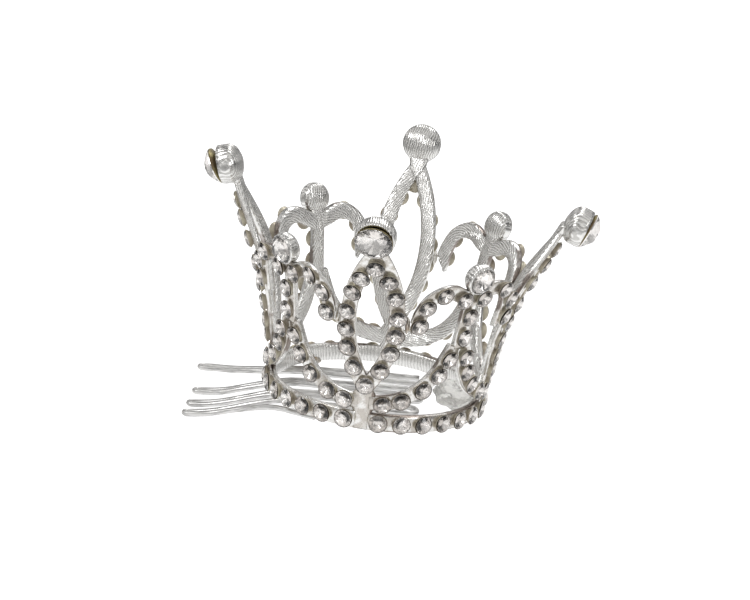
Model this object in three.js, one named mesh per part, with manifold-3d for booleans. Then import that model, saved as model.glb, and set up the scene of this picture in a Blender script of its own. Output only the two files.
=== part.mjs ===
// A small crown on a wire hair comb, in millimetres. Z is the crown's axis and the ring's base lies at Z = 0.
// The front tall point faces -Y, and the comb's teeth run out under the ring towards -X.
// Strips and stones are drawn on a flat sheet as (across, height, out) and then bent onto the crown's wall.

import * as THREE from "three";
import { ParametricGeometry } from "three/addons/geometries/ParametricGeometry.js";
import { mergeVertices } from "three/addons/utils/BufferGeometryUtils.js";
import Module from "manifold-3d";

// The wall: its outer face at the base, and how it flares with height.
const RING_RADIUS = 17.9;
const FLARE_GROWTH = 0.0185; // outward run per millimetre of height, gained with each millimetre
const FLARE_KNEE = 26; // height above which the points run straight
const SHORT_FLATTENING = 0.36; // how far the short points' tops stand back from that flare, as a share
const FLATTENING_SPAN = [10, 26]; // heights over which they do
const SHEET_SHARE = 0.85; // the sheet's own flare lies between the two kinds of point
const METAL = 1.2; // thickness of the cast strips
const GAP = 0.14; // clearance between neighbouring pieces
const CROSSING_STEP = 0.08; // strips that cross in one casting lie this much inside each other

// The band.
const BAND_HEIGHT = 3;
const BAND_HALF_SPAN = 40.4; // degrees to each side of a quarter's middle
const BAND_STEPS = 16;
const BAND_STONE_HEIGHT = 1.45;
const BAND_STONE_STEP = 12; // degrees
const BAND_STONES = 7;

// Small stones and the cement that holds each row.
const STONE_RADIUS = 1.42;
const STONE_RISE = 1.05;
const CEMENT_WIDTH = 0.9;
const CEMENT_RISE = 0.3;
const CEMENT_LIFT = 0.07; // the straight bed bridges the curved metal without touching it
const BEAD_SHARE = 0.86; // half-width of a bead as a share of its stone's radius

// A tall point: pointed-oval loop, foot, neck and cup.
const LEG_WIDTH = 2.6;
const STRIP_STEPS = 12;
const CUP_SIDES = 10;
const GEM_SIDES = 8;
const LOOP_LOW = 7.2;
const LOOP_HIGH = 33.3;
const LOOP_HALF_WIDTH = 3.95;
const LOOP_FULLEST = 20; // height where the loop is widest
const LOOP_ROUNDNESS = { below: 2.2, above: 2 }; // power of the curve that closes each end
const LOOP_POINTS = 10;
const TALL_STONES = [[2.1, 11], [3.4, 14.4], [3.87, 17.7], [3.98, 21.1], [3.3, 24.9], [2.09, 27.9]];
const LOOP_END_STONES = { low: [0, 8], high: [0, 30.2] };
const FOOT_HALF_WIDTH = 1.25;
const FOOT_WAIST = 0.95;
const FOOT_TOP = 8.6;
const NECK_WIDTH = 3;
const NECK = [[0, 31.3], [0, 32.5], [0, 33.8]];
const CUP_WALL = 0.5;
const TALL_CUP = { radius: 3.3, back: 2.1, rim: 1.8, tilt: 19 };
const TALL_GEM = { radius: 3, crown: 1.7, pavilion: 1.4 };
const TALL_TIPS = { // middle of each tall cup, and its gem's tilt: the points are bent a little differently
  front: { out: 28.6, height: 36.1, gemTilt: 27 },
  right: { out: 29.4, height: 34.7, gemTilt: 23 },
  back: { out: 28.7, height: 36.8, gemTilt: 25 },
  left: { out: 28.6, height: 36, gemTilt: 31 },
};
const GIRDLE = 0.12; // half the thickness of a gem's edge

// A short point: stem, two legs, two curls and cup.
const STEM_TOP = 24.4;
const STEM_FOOT = 15.4;
const SHORT_CUP = { radius: 2.55, back: 1.5, rim: 1.2, out: 22.1, height: 27.9, tilt: 14 };
const SHORT_GEM = { radius: 2.25, crown: 1.4, pavilion: 0.9, tilt: 14 };
const SHORT_LEG = [
  [0.9, 15.6], [1.7, 13.4], [2.9, 10.5], [5.05, 7.8], [8.2, 5.8], [11.1, 4.95], [12.2, 4.85],
];
const CURL = [
  [0.6, 24.2], [2.3, 24.7], [4.4, 25.5], [6.6, 25.4], [8.4, 24.1], [9.05, 22], [9, 19.7], [7.9, 17],
];
const HOOK_SHARE = 0.8; // where along the curl it starts to narrow to its point
const HOOK_POINT = 0.22; // width left at the point, as a share of the curl's
const CURL_STONES = [[6.5, 25.4], [8.85, 23.2], [9, 19.8]];
const HEAD_STONES = [[2.1, 24.2], [0, 21], [0, 17.3]];
const LEG_STONES = [[1.7, 13.4], [2.9, 10.5], [5.05, 7.8], [8.2, 5.8], [11.1, 4.95]];
const CURL_SOLDER = { across: 10.64, height: 19.4, width: 0.34, length: 2.2, deep: 0.9 };

// The comb, bent from one wire.
const WIRE = 0.95;
const WIRE_SIDES = 6;
const TOOTH_COUNT = 4;
const WIRE_SPACING = 3.1; // between neighbouring wires at the spine
const COMB_FRONT_WIRE = -10.6; // Y the first wire would have at the spine at that spacing
const FRONT_END = { x: -8, aim: -18.1 }; // the first wire spreads towards this Y and stops on the band
const SPINE_END = 6.4; // X where the loops start
const TIP_SPACING = 1.16; // between a tooth's two wires at its tip
const TOOTH_TIPS = [ // Y of each tip, how far the tooth droops below a flat one, and how much shorter it is
  { across: -7.3, droop: 0.6, short: 0.7 },
  { across: -2.7, droop: 0.5, short: 0.6 },
  { across: 3.1, droop: 0.2, short: 0.5 },
  { across: 9.6, droop: -2, short: 0 },
];
const TOOTH_END = -30.6;
const TURN_STEPS = 5;
const COMB_SOLDER = { out: -0.95, height: 0.62, radial: 0.8, along: 1.7, rise: 0.66 };
const COMB_SOLDER_ANGLES = { front: -27, back: -131 };
const ADHESIVE = { angle: 94, out: -3.5, height: 2.4, radial: 3.3, along: 2.7, rise: 2.2 };
const LUMP_SIDES = [12, 8];

const deg = THREE.MathUtils.degToRad;
const wasm = await Module();
wasm.setup();

// ---- The wall ----

function flare(height) {
  const low = Math.min(height, FLARE_KNEE);
  return FLARE_GROWTH * (0.5 * low * low + FLARE_KNEE * Math.max(0, height - FLARE_KNEE));
}

// Radius of the strips' outer face: the same all round at the foot, flatter between the tall points above.
function wallRadius(angle, height) {
  const between = 0.5 * (1 - Math.cos(4 * angle));
  const flattening = SHORT_FLATTENING * THREE.MathUtils.smoothstep(height, ...FLATTENING_SPAN);
  return RING_RADIUS + flare(height) * (1 - flattening * between);
}

// Radius that turns a distance across the sheet into an angle round the crown.
function sheetRadius(height) {
  return RING_RADIUS + SHEET_SHARE * flare(height);
}

function onWall(angle, height, out) {
  const radius = wallRadius(angle, height) + out;
  return new THREE.Vector3(radius * Math.sin(angle), -radius * Math.cos(angle), height);
}

// Bends a flat piece, drawn as (across, height, out), onto the wall at the given angle.
function bend(geometry, middle) {
  const place = geometry.getAttribute("position");
  for (let i = 0; i < place.count; i++) {
    const height = place.getY(i);
    const angle = deg(middle) + place.getX(i) / sheetRadius(height);
    const point = onWall(angle, height, place.getZ(i));
    place.setXYZ(i, point.x, point.y, point.z);
  }
  return geometry;
}

// ---- Joining and cutting ----

function bare(geometry) {
  const copy = geometry.clone();
  copy.deleteAttribute("normal");
  copy.deleteAttribute("uv");
  return mergeVertices(copy, 1e-4);
}

function solid(geometry) {
  const merged = bare(geometry);
  return new wasm.Manifold(new wasm.Mesh({
    numProp: 3,
    vertProperties: new Float32Array(merged.attributes.position.array),
    triVerts: new Uint32Array(merged.index.array),
  }));
}

function join(geometries) {
  const whole = geometries.map(solid).reduce((a, b) => a.add(b));
  const mesh = whole.getMesh();
  const geometry = new THREE.BufferGeometry();
  geometry.setAttribute("position", new THREE.BufferAttribute(new Float32Array(mesh.vertProperties), 3));
  geometry.setIndex(new THREE.BufferAttribute(new Uint32Array(mesh.triVerts), 1));
  const flat = geometry.toNonIndexed();
  flat.computeVertexNormals();
  return flat;
}

// ---- Flat pieces ----

// A closed sweep in the sheet with a four-cornered section at each node: { half, low, high }.
function sweep(nodes, sections) {
  const corners = [[1, "low"], [-1, "low"], [-1, "high"], [1, "high"]];
  const last = nodes.length - 1;
  const rows = nodes.length + 1; // the nodes and, before and after them, a point that closes the end
  const across = nodes.map((node, i) => {
    const along = nodes[Math.min(i + 1, last)].clone().sub(nodes[Math.max(i - 1, 0)]).normalize();
    return new THREE.Vector2(along.y, -along.x);
  });
  return new ParametricGeometry((u, v, target) => {
    const row = Math.round(v * rows) - 1;
    const i = THREE.MathUtils.clamp(row, 0, last);
    const { half, low, high } = sections[i];
    if (row !== i) {
      target.set(nodes[i].x, nodes[i].y, (low + high) / 2);
      return;
    }
    const [side, level] = corners[Math.round(u * 4) % 4];
    const reach = side * half;
    target.set(nodes[i].x + reach * across[i].x, nodes[i].y + reach * across[i].y, sections[i][level]);
  }, 4, rows);
}

// A strip along a smooth line through the points; taper gives its width's share at each node.
function strip(points, width, low, high, steps, taper = () => 1) {
  const path = new THREE.CatmullRomCurve3(points.map(([x, y]) => new THREE.Vector3(x, y, 0)));
  const nodes = path.getSpacedPoints(steps);
  return sweep(nodes, nodes.map((_, i) => ({ half: width / 2 * taper(i / steps), low, high })));
}

function plate(points, low, high) {
  const shape = new THREE.Shape(points.map(([x, y]) => new THREE.Vector2(x, y)));
  const geometry = new THREE.ExtrudeGeometry(shape, { depth: high - low, bevelEnabled: false });
  return geometry.translate(0, 0, low);
}

// Half-width of the tall point's loop at a height: zero at both ends, fullest at LOOP_FULLEST.
function loopHalfWidth(height) {
  const above = height > LOOP_FULLEST;
  const share = (height - LOOP_FULLEST) / ((above ? LOOP_HIGH : LOOP_LOW) - LOOP_FULLEST);
  return LOOP_HALF_WIDTH * (1 - share ** (above ? LOOP_ROUNDNESS.above : LOOP_ROUNDNESS.below));
}

function loopLeg(side) {
  const points = [];
  for (let i = 0; i <= LOOP_POINTS; i++) {
    const height = LOOP_LOW + (LOOP_HIGH - LOOP_LOW) * i / LOOP_POINTS;
    points.push([side * loopHalfWidth(height), height]);
  }
  return points;
}

function hookTaper(share) {
  return 1 - (1 - HOOK_POINT) * THREE.MathUtils.smoothstep(share, HOOK_SHARE, 1);
}

const mirrored = (points) => points.map(([x, y]) => [-x, y]);

// ---- Cups and gems, placed square to a tilted axis ----

function facing(geometry, angle, out, height, tilt) {
  // Lathes turn about Y; the axis ends up pointing outward and down by the tilt.
  geometry.rotateX(Math.PI / 2);
  geometry.rotateX(deg(tilt));
  geometry.translate(0, 0, out);
  geometry.applyMatrix4(new THREE.Matrix4().makeBasis(
    new THREE.Vector3(1, 0, 0), new THREE.Vector3(0, 0, 1), new THREE.Vector3(0, -1, 0)));
  geometry.translate(0, 0, height);
  return geometry.rotateZ(deg(angle));
}

function cupShape({ radius, back, rim }, sides) {
  const profile = [
    [0, -back],
    [0.55 * radius, -0.85 * back],
    [0.87 * radius, -0.45 * back],
    [radius, 0.1 * back],
    [0.97 * radius, rim],
    [0.97 * radius - CUP_WALL, rim],
    [0.9 * radius - CUP_WALL, 0.25 * rim],
    [0, -0.2 * back],
  ];
  return new THREE.LatheGeometry(profile.map(([x, y]) => new THREE.Vector2(x, y)), sides);
}

function gemShape({ radius, crown, pavilion }, sides) {
  const profile = [
    [0, -pavilion],
    [radius, -GIRDLE],
    [radius, GIRDLE],
    [0.72 * radius, 0.62 * crown],
    [0.4 * radius, crown],
    [0, crown],
  ];
  return new THREE.LatheGeometry(profile.map(([x, y]) => new THREE.Vector2(x, y)), sides);
}

// Middle of a gem's girdle when its lowest point rests just outside its cup's rim, as [out, height].
function gemSeat(cup, gem) {
  const axis = [Math.cos(deg(cup.tilt)), -Math.sin(deg(cup.tilt))];
  const up = [Math.sin(deg(cup.tilt)), Math.cos(deg(cup.tilt))];
  const lift = cup.rim + GIRDLE + GAP;
  const foot = [0, 1].map((i) => [cup.out, cup.height][i] + axis[i] * lift - up[i] * gem.radius);
  return [
    foot[0] + gem.radius * Math.sin(deg(gem.tilt)),
    foot[1] + gem.radius * Math.cos(deg(gem.tilt)),
  ];
}

function gem(angle, cup, shape) {
  const [out, height] = gemSeat(cup, shape);
  return facing(gemShape(shape, GEM_SIDES), angle, out, height, shape.tilt);
}

// ---- Stones ----

// A row of stones on its bed of cement: a bead at each place, with a low narrow neck between beads.
function stoneRow(places) {
  const low = GAP + CEMENT_LIFT;
  const bead = { half: STONE_RADIUS * BEAD_SHARE, low, high: STONE_RISE };
  const neck = { half: CEMENT_WIDTH / 2, low, high: low + CEMENT_RISE };
  const points = places.map(([x, y]) => new THREE.Vector3(x, y, 0));
  const nodes = [];
  const sections = [];
  points.forEach((point, i) => {
    const before = points[Math.max(i - 1, 0)];
    const after = points[Math.min(i + 1, points.length - 1)];
    const along = after.clone().sub(before).setLength(STONE_RADIUS / 2);
    nodes.push(point.clone().sub(along), point.clone().add(along));
    sections.push(bead, bead);
    if (i < points.length - 1) {
      nodes.push(point.clone().lerp(after, 0.5));
      sections.push(neck);
    }
  });
  return sweep(nodes, sections);
}

// ---- The sub-parts ----

function bandQuarter(middle) {
  const points = [];
  for (let i = 0; i <= BAND_STEPS; i++) {
    points.push([(2 * i / BAND_STEPS - 1) * deg(BAND_HALF_SPAN) * RING_RADIUS, BAND_HEIGHT / 2]);
  }
  return bend(strip(points, BAND_HEIGHT, -METAL, 0, BAND_STEPS), middle);
}

function bandStones(middle) {
  const places = [];
  for (let i = 0; i < BAND_STONES; i++) {
    const angle = (i - (BAND_STONES - 1) / 2) * BAND_STONE_STEP;
    places.push([deg(angle) * sheetRadius(BAND_STONE_HEIGHT), BAND_STONE_HEIGHT]);
  }
  return bend(stoneRow(places), middle);
}

function tallPoint(middle, tip) {
  const foot = [
    [-FOOT_HALF_WIDTH, 0], [-0.3, 0], [0, 0.35], [0.3, 0], [FOOT_HALF_WIDTH, 0],
    [FOOT_WAIST, 4], [FOOT_WAIST, FOOT_TOP], [-FOOT_WAIST, FOOT_TOP], [-FOOT_WAIST, 4],
  ];
  const flat = [
    strip(loopLeg(-1), LEG_WIDTH, -METAL, 0, STRIP_STEPS),
    strip(loopLeg(1), LEG_WIDTH, -METAL + CROSSING_STEP, -CROSSING_STEP, STRIP_STEPS),
    plate(foot, -METAL + 2 * CROSSING_STEP, -2 * CROSSING_STEP),
    strip(NECK, NECK_WIDTH, -METAL - CROSSING_STEP, 2 * CROSSING_STEP, 3),
  ].map((piece) => bend(piece, middle));
  const cup = facing(cupShape(TALL_CUP, CUP_SIDES), middle, tip.out, tip.height, TALL_CUP.tilt);
  return join([...flat, cup]);
}

function tallStones(middle) {
  const { low, high } = LOOP_END_STONES;
  return bend(stoneRow([low, ...mirrored(TALL_STONES), high, ...TALL_STONES.toReversed()]), middle);
}

function shortPoint(middle) {
  const flat = [
    strip([[0, STEM_TOP + 2.2], [0, 20], [0, STEM_FOOT - 0.4]], LEG_WIDTH, -METAL, 0, 6),
    strip(SHORT_LEG, LEG_WIDTH, -METAL + CROSSING_STEP, -CROSSING_STEP, STRIP_STEPS),
    strip(mirrored(SHORT_LEG), LEG_WIDTH, -METAL + 2 * CROSSING_STEP, -2 * CROSSING_STEP, STRIP_STEPS),
    strip(CURL, LEG_WIDTH, -METAL + CROSSING_STEP, -CROSSING_STEP, STRIP_STEPS, hookTaper),
    strip(mirrored(CURL), LEG_WIDTH, -METAL + 2 * CROSSING_STEP, -2 * CROSSING_STEP, STRIP_STEPS, hookTaper),
  ].map((piece) => bend(piece, middle));
  const cup = facing(cupShape(SHORT_CUP, CUP_SIDES), middle, SHORT_CUP.out, SHORT_CUP.height, SHORT_CUP.tilt);
  return join([...flat, cup]);
}

function shortStones(middle) {
  const [side, ...stem] = HEAD_STONES;
  const arm = [side, ...CURL_STONES];
  const rows = [
    [...mirrored(arm).reverse(), ...arm],
    [[0, side[1]], ...stem, ...LEG_STONES],
    [stem.at(-1), ...mirrored(LEG_STONES)],
  ];
  return join(rows.map((row) => bend(stoneRow(row), middle)));
}

function curlSolder(middle, side) {
  const { across, height, width, length, deep } = CURL_SOLDER;
  const low = [side * across, height - length / 2];
  const high = [side * across, height + length / 2];
  const run = strip([low, high], width, -(METAL + deep) / 2, (deep - METAL) / 2, 2);
  return bend(run, middle);
}

// ---- The comb ----

// A line through its own nodes, with its turns as fine as they are made and its straight runs coarse.
class Route extends THREE.Curve {
  constructor(nodes) {
    super();
    this.nodes = nodes;
  }

  getPoint(share, target = new THREE.Vector3()) {
    const place = share * (this.nodes.length - 1);
    const index = Math.min(Math.floor(place), this.nodes.length - 2);
    return target.lerpVectors(this.nodes[index], this.nodes[index + 1], place - index);
  }

  getPointAt(share, target) {
    return this.getPoint(share, target);
  }

  getTangentAt(share, target = new THREE.Vector3()) {
    const index = Math.round(share * (this.nodes.length - 1));
    const before = this.nodes[Math.max(index - 1, 0)];
    const after = this.nodes[Math.min(index + 1, this.nodes.length - 1)];
    return target.subVectors(after, before).normalize();
  }
}

// Height of the wire's middle along the comb: just under the band, up a little inside it, down to the tips.
const COMB_PROFILE = new THREE.CatmullRomCurve3([
  new THREE.Vector3(8.5, 0, 0.5),
  new THREE.Vector3(-2, 0, -0.2),
  new THREE.Vector3(-11, 0, -0.85),
  new THREE.Vector3(-15.5, 0, -1.35),
  new THREE.Vector3(-20, 0, -2.7),
  new THREE.Vector3(-26, 0, -4.6),
  new THREE.Vector3(TOOTH_END, 0, -5.35),
]);

function combHeight(x) {
  let low = 0;
  let high = 1;
  for (let i = 0; i < 24; i++) {
    const middle = (low + high) / 2;
    if (COMB_PROFILE.getPoint(middle).x > x) low = middle;
    else high = middle;
  }
  return COMB_PROFILE.getPoint(low).z;
}

// One wire of a tooth: its place across the comb at a distance along it.
function wirePlace(tooth, side, x) {
  const first = tooth === 0 && side < 0;
  const spine = first ? FRONT_END.aim : COMB_FRONT_WIRE + (2 * tooth + (side + 1) / 2) * WIRE_SPACING;
  const tip = TOOTH_TIPS[tooth].across + side * TIP_SPACING / 2;
  const share = THREE.MathUtils.smoothstep(-x, -SPINE_END, -TOOTH_END - 4);
  const droop = TOOTH_TIPS[tooth].droop * THREE.MathUtils.smoothstep(-x, 14, -TOOTH_END);
  return new THREE.Vector3(x, THREE.MathUtils.lerp(spine, tip, share), combHeight(x) - droop);
}

function combRoute() {
  const nodes = [];
  const stops = [SPINE_END, 0, -7, -12, -16, -20, -24, -27];
  const turn = (from, to, reach) => {
    for (let i = 1; i < TURN_STEPS; i++) {
      const angle = Math.PI * i / TURN_STEPS;
      const point = new THREE.Vector3().lerpVectors(from, to, (1 - Math.cos(angle)) / 2);
      point.x += reach * Math.sin(angle);
      nodes.push(point);
    }
  };
  for (let tooth = 0; tooth < TOOTH_COUNT; tooth++) {
    const tip = TOOTH_END + TOOTH_TIPS[tooth].short;
    const out = tooth === 0 ? [FRONT_END.x, ...stops.filter((x) => x < FRONT_END.x)] : stops;
    nodes.push(...[...out, tip].map((x) => wirePlace(tooth, -1, x)));
    turn(wirePlace(tooth, -1, tip), wirePlace(tooth, 1, tip), -TIP_SPACING / 2);
    nodes.push(...[tip, ...stops.toReversed()].map((x) => wirePlace(tooth, 1, x)));
    if (tooth < TOOTH_COUNT - 1) {
      turn(wirePlace(tooth, 1, SPINE_END), wirePlace(tooth + 1, -1, SPINE_END), WIRE_SPACING / 2);
    }
  }
  return nodes;
}

function combWire() {
  const nodes = combRoute();
  const section = new THREE.Shape();
  for (let i = 0; i < WIRE_SIDES; i++) {
    const turn = 2 * Math.PI * i / WIRE_SIDES;
    const point = [Math.cos(turn) * WIRE / 2, Math.sin(turn) * WIRE / 2];
    if (i === 0) section.moveTo(...point);
    else section.lineTo(...point);
  }
  return new THREE.ExtrudeGeometry(section, {
    steps: nodes.length - 1,
    extrudePath: new Route(nodes),
    bevelEnabled: false,
  });
}

// A lump of solder or adhesive against the inside of the ring, flattened along its radius.
function lump(angle, { out, height, radial, along, rise }) {
  const geometry = new THREE.SphereGeometry(1, ...LUMP_SIDES);
  geometry.rotateX(Math.PI / 2);
  geometry.scale(along, radial, rise);
  geometry.translate(0, -(RING_RADIUS - METAL + out), height);
  return geometry.rotateZ(deg(angle));
}

// ---- Materials and the assembly ----

const finish = (color, metalness, roughness) => () =>
  new THREE.MeshStandardMaterial({ color, metalness, roughness });
const silver = finish(0xd9d9d8, 1, 0.28);
const crystal = finish(0xd6d4d2, 0.1, 0.05);
const solderTin = finish(0xb9ab94, 0.8, 0.45);
const wireSteel = finish(0xc4c4c2, 1, 0.35);
const clearGlue = finish(0xdcdad6, 0, 0.12);

const crown = new THREE.Group();
crown.name = "crown";

function add(group, name, geometry, material) {
  const mesh = new THREE.Mesh(geometry, material());
  mesh.name = name;
  group.add(mesh);
}

const SIDES = [["front", 0], ["right", 90], ["back", 180], ["left", 270]];
const CORNERS = [["front_right", 45], ["back_right", 135], ["back_left", 225], ["front_left", 315]];

for (const [side, angle] of SIDES) {
  const tip = TALL_TIPS[side];
  const cup = { ...TALL_CUP, ...tip };
  add(crown, "tall_point_" + side, tallPoint(angle, tip), silver);
  add(crown, "tall_stones_" + side, tallStones(angle), crystal);
  add(crown, "tall_gem_" + side, gem(angle, cup, { ...TALL_GEM, tilt: tip.gemTilt }), crystal);
}
for (const [corner, angle] of CORNERS) {
  add(crown, "band_" + corner, bandQuarter(angle), silver);
  add(crown, "band_stones_" + corner, bandStones(angle), crystal);
  add(crown, "short_point_" + corner, shortPoint(angle), silver);
  add(crown, "short_stones_" + corner, shortStones(angle), crystal);
  add(crown, "short_gem_" + corner, gem(angle, SHORT_CUP, SHORT_GEM), crystal);
  add(crown, "curl_solder_" + corner + "_a", curlSolder(angle, -1), solderTin);
  add(crown, "curl_solder_" + corner + "_b", curlSolder(angle, 1), solderTin);
}
add(crown, "comb_wire", combWire(), wireSteel);
for (const [end, angle] of Object.entries(COMB_SOLDER_ANGLES)) {
  add(crown, "comb_solder_" + end, lump(angle, COMB_SOLDER), solderTin);
}
add(crown, "adhesive_bead", lump(ADHESIVE.angle, ADHESIVE), clearGlue);

export default crown;
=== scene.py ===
"""Looks for a small crown on a wire hair comb, in metres, in the frame of the CAD part.

Shapes are worked out in millimetres. A strip or a stone is drawn on a flat sheet as (across, height, out)
and then laid on the crown's flaring wall, as in the CAD.
"""

import logging
import math
from collections.abc import Callable, Iterable, Sequence
from dataclasses import dataclass
from enum import Enum

import bmesh
import bpy
import numpy as np
from mathutils import Matrix, Vector, noise


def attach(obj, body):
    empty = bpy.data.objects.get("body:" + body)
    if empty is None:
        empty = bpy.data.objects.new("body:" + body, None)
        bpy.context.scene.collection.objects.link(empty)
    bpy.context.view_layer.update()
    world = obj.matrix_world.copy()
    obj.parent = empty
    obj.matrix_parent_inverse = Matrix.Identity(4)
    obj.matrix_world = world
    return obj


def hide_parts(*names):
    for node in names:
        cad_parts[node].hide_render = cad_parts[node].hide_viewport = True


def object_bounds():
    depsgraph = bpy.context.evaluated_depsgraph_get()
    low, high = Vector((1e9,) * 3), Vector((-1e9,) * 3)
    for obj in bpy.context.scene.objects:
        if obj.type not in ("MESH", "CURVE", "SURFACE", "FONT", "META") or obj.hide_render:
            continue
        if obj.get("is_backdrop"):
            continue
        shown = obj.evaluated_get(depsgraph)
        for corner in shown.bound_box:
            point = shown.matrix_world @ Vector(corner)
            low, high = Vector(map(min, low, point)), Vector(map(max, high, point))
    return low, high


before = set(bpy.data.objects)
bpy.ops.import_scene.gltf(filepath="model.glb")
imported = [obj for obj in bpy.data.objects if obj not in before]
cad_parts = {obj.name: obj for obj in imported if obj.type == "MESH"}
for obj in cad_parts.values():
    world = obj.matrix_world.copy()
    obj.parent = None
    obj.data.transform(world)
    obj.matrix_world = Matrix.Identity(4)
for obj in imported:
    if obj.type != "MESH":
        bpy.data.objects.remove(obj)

log = logging.getLogger("crown")

MM = 0.001
ROOT = "root"
Flat = tuple[float, float]  # (across, height) on the sheet
Lay = tuple[float, float, float]  # (across the strip, along it, out), kept on each vertex for the shaders
LAY = "lay"
TONE = "tone"
FOIL = "foil"
VECTOR = "NodeSocketVector"
NUMBER = "NodeSocketFloat"
NOISE_SEED = 1  # without a seed, a surface's wobble follows the clock
INWARDS = 4.0  # taken off a turned shape's lay, so that the shaders treat all of it as an inner face


class Side(Enum):
    """Where the tall points stand, in degrees from the front."""

    FRONT = 0
    RIGHT = 90
    BACK = 180
    LEFT = 270


class Corner(Enum):
    """Where the short points stand, in degrees from the front."""

    FRONT_RIGHT = 45
    BACK_RIGHT = 135
    BACK_LEFT = 225
    FRONT_LEFT = 315


class Slot(Enum):
    """The record's material slots."""

    SILVER = "silver"
    SMALL_CRYSTAL = "small_crystal"
    LARGE_CRYSTAL = "large_crystal"
    SOLDER = "solder"
    COMB_WIRE = "comb_wire"
    ADHESIVE = "adhesive"


def smoothstep(value: float, low: float, high: float) -> float:
    """0 below low, 1 above high and a smooth step between them."""
    share = min(max((value - low) / (high - low), 0.0), 1.0)
    return share * share * (3 - 2 * share)


def mirrored(points: Sequence[Flat]) -> list[Flat]:
    """The points on the other side of the sheet's middle line."""
    return [(-x, y) for x, y in points]


def smooth_line(points: Sequence[Sequence[float]], count: int) -> list[Vector]:
    """Evenly spaced points along a Catmull-Rom line.

    Args:
        points: Points that the line passes through.
        count: How many steps to divide it into.

    Returns:
        count + 1 points, the first and last being the line's ends.
    """
    given = [Vector(p) for p in points]
    ends = [2 * given[0] - given[1], *given, 2 * given[-1] - given[-2]]
    fine: list[Vector] = []
    for a, b, c, d in zip(ends, ends[1:], ends[2:], ends[3:]):
        for i in range(24):
            t = i / 24
            square, cube = 2 * a - 5 * b + 4 * c - d, 3 * b - a - 3 * c + d
            fine.append(0.5 * (2 * b + (c - a) * t + square * t**2 + cube * t**3))
    fine.append(given[-1])
    lengths = [0.0]
    for a, b in zip(fine, fine[1:]):
        lengths.append(lengths[-1] + (b - a).length)
    line, place = [], 0
    for i in range(count + 1):
        wanted = lengths[-1] * i / count
        while place < len(fine) - 2 and lengths[place + 1] < wanted:
            place += 1
        run = lengths[place + 1] - lengths[place]
        line.append(fine[place].lerp(fine[place + 1], (wanted - lengths[place]) / run if run else 0.0))
    return line


# ---- The wall ----


@dataclass(frozen=True)
class Wall:
    """The crown's flaring wall, on which everything but the comb lies."""

    ring_radius: float = 17.9
    flare_growth: float = 0.0185
    flare_knee: float = 26.0
    short_flattening: float = 0.36
    flattening_from: float = 10.0
    flattening_to: float = 26.0
    sheet_share: float = 0.85
    metal: float = 1.2

    def flare(self, height: float) -> float:
        """How far the wall has leaned outwards at a height."""
        low = min(height, self.flare_knee)
        return self.flare_growth * (0.5 * low * low + self.flare_knee * max(0.0, height - self.flare_knee))

    def radius(self, angle: float, height: float) -> float:
        """Radius of the outer face at an angle in radians.

        Args:
            angle: Angle round the crown from the front.
            height: Height above the ring's base.

        Returns:
            The radius in millimetres.
        """
        between = 0.5 * (1 - math.cos(4 * angle))
        back = self.short_flattening * smoothstep(height, self.flattening_from, self.flattening_to)
        return self.ring_radius + self.flare(height) * (1 - back * between)

    def sheet_radius(self, height: float) -> float:
        """Radius that turns a distance across the sheet into an angle round the crown."""
        return self.ring_radius + self.sheet_share * self.flare(height)

    def point(self, middle: float, across: float, height: float, out: float) -> Vector:
        """A point of the sheet laid on the wall.

        Args:
            middle: Angle of the sheet's middle line, in degrees from the front.
            across: Distance from that line.
            height: Height above the ring's base.
            out: Distance out from the outer face.

        Returns:
            The point in millimetres.
        """
        angle = math.radians(middle) + across / self.sheet_radius(height)
        radius = self.radius(angle, height) + out
        return Vector((radius * math.sin(angle), -radius * math.cos(angle), height))

    def facing(self, middle: float, across: float, height: float) -> Vector:
        """Outward normal of the outer face.

        Args:
            middle: Angle of the sheet's middle line, in degrees.
            across: Distance from that line.
            height: Height above the ring's base.

        Returns:
            The unit normal.
        """
        step = 0.05
        right = self.point(middle, across + step, height, 0) - self.point(middle, across - step, height, 0)
        up = self.point(middle, across, height + step, 0) - self.point(middle, across, height - step, 0)
        return right.cross(up).normalized()


WALL = Wall()


# ---- Meshes ----


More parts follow.
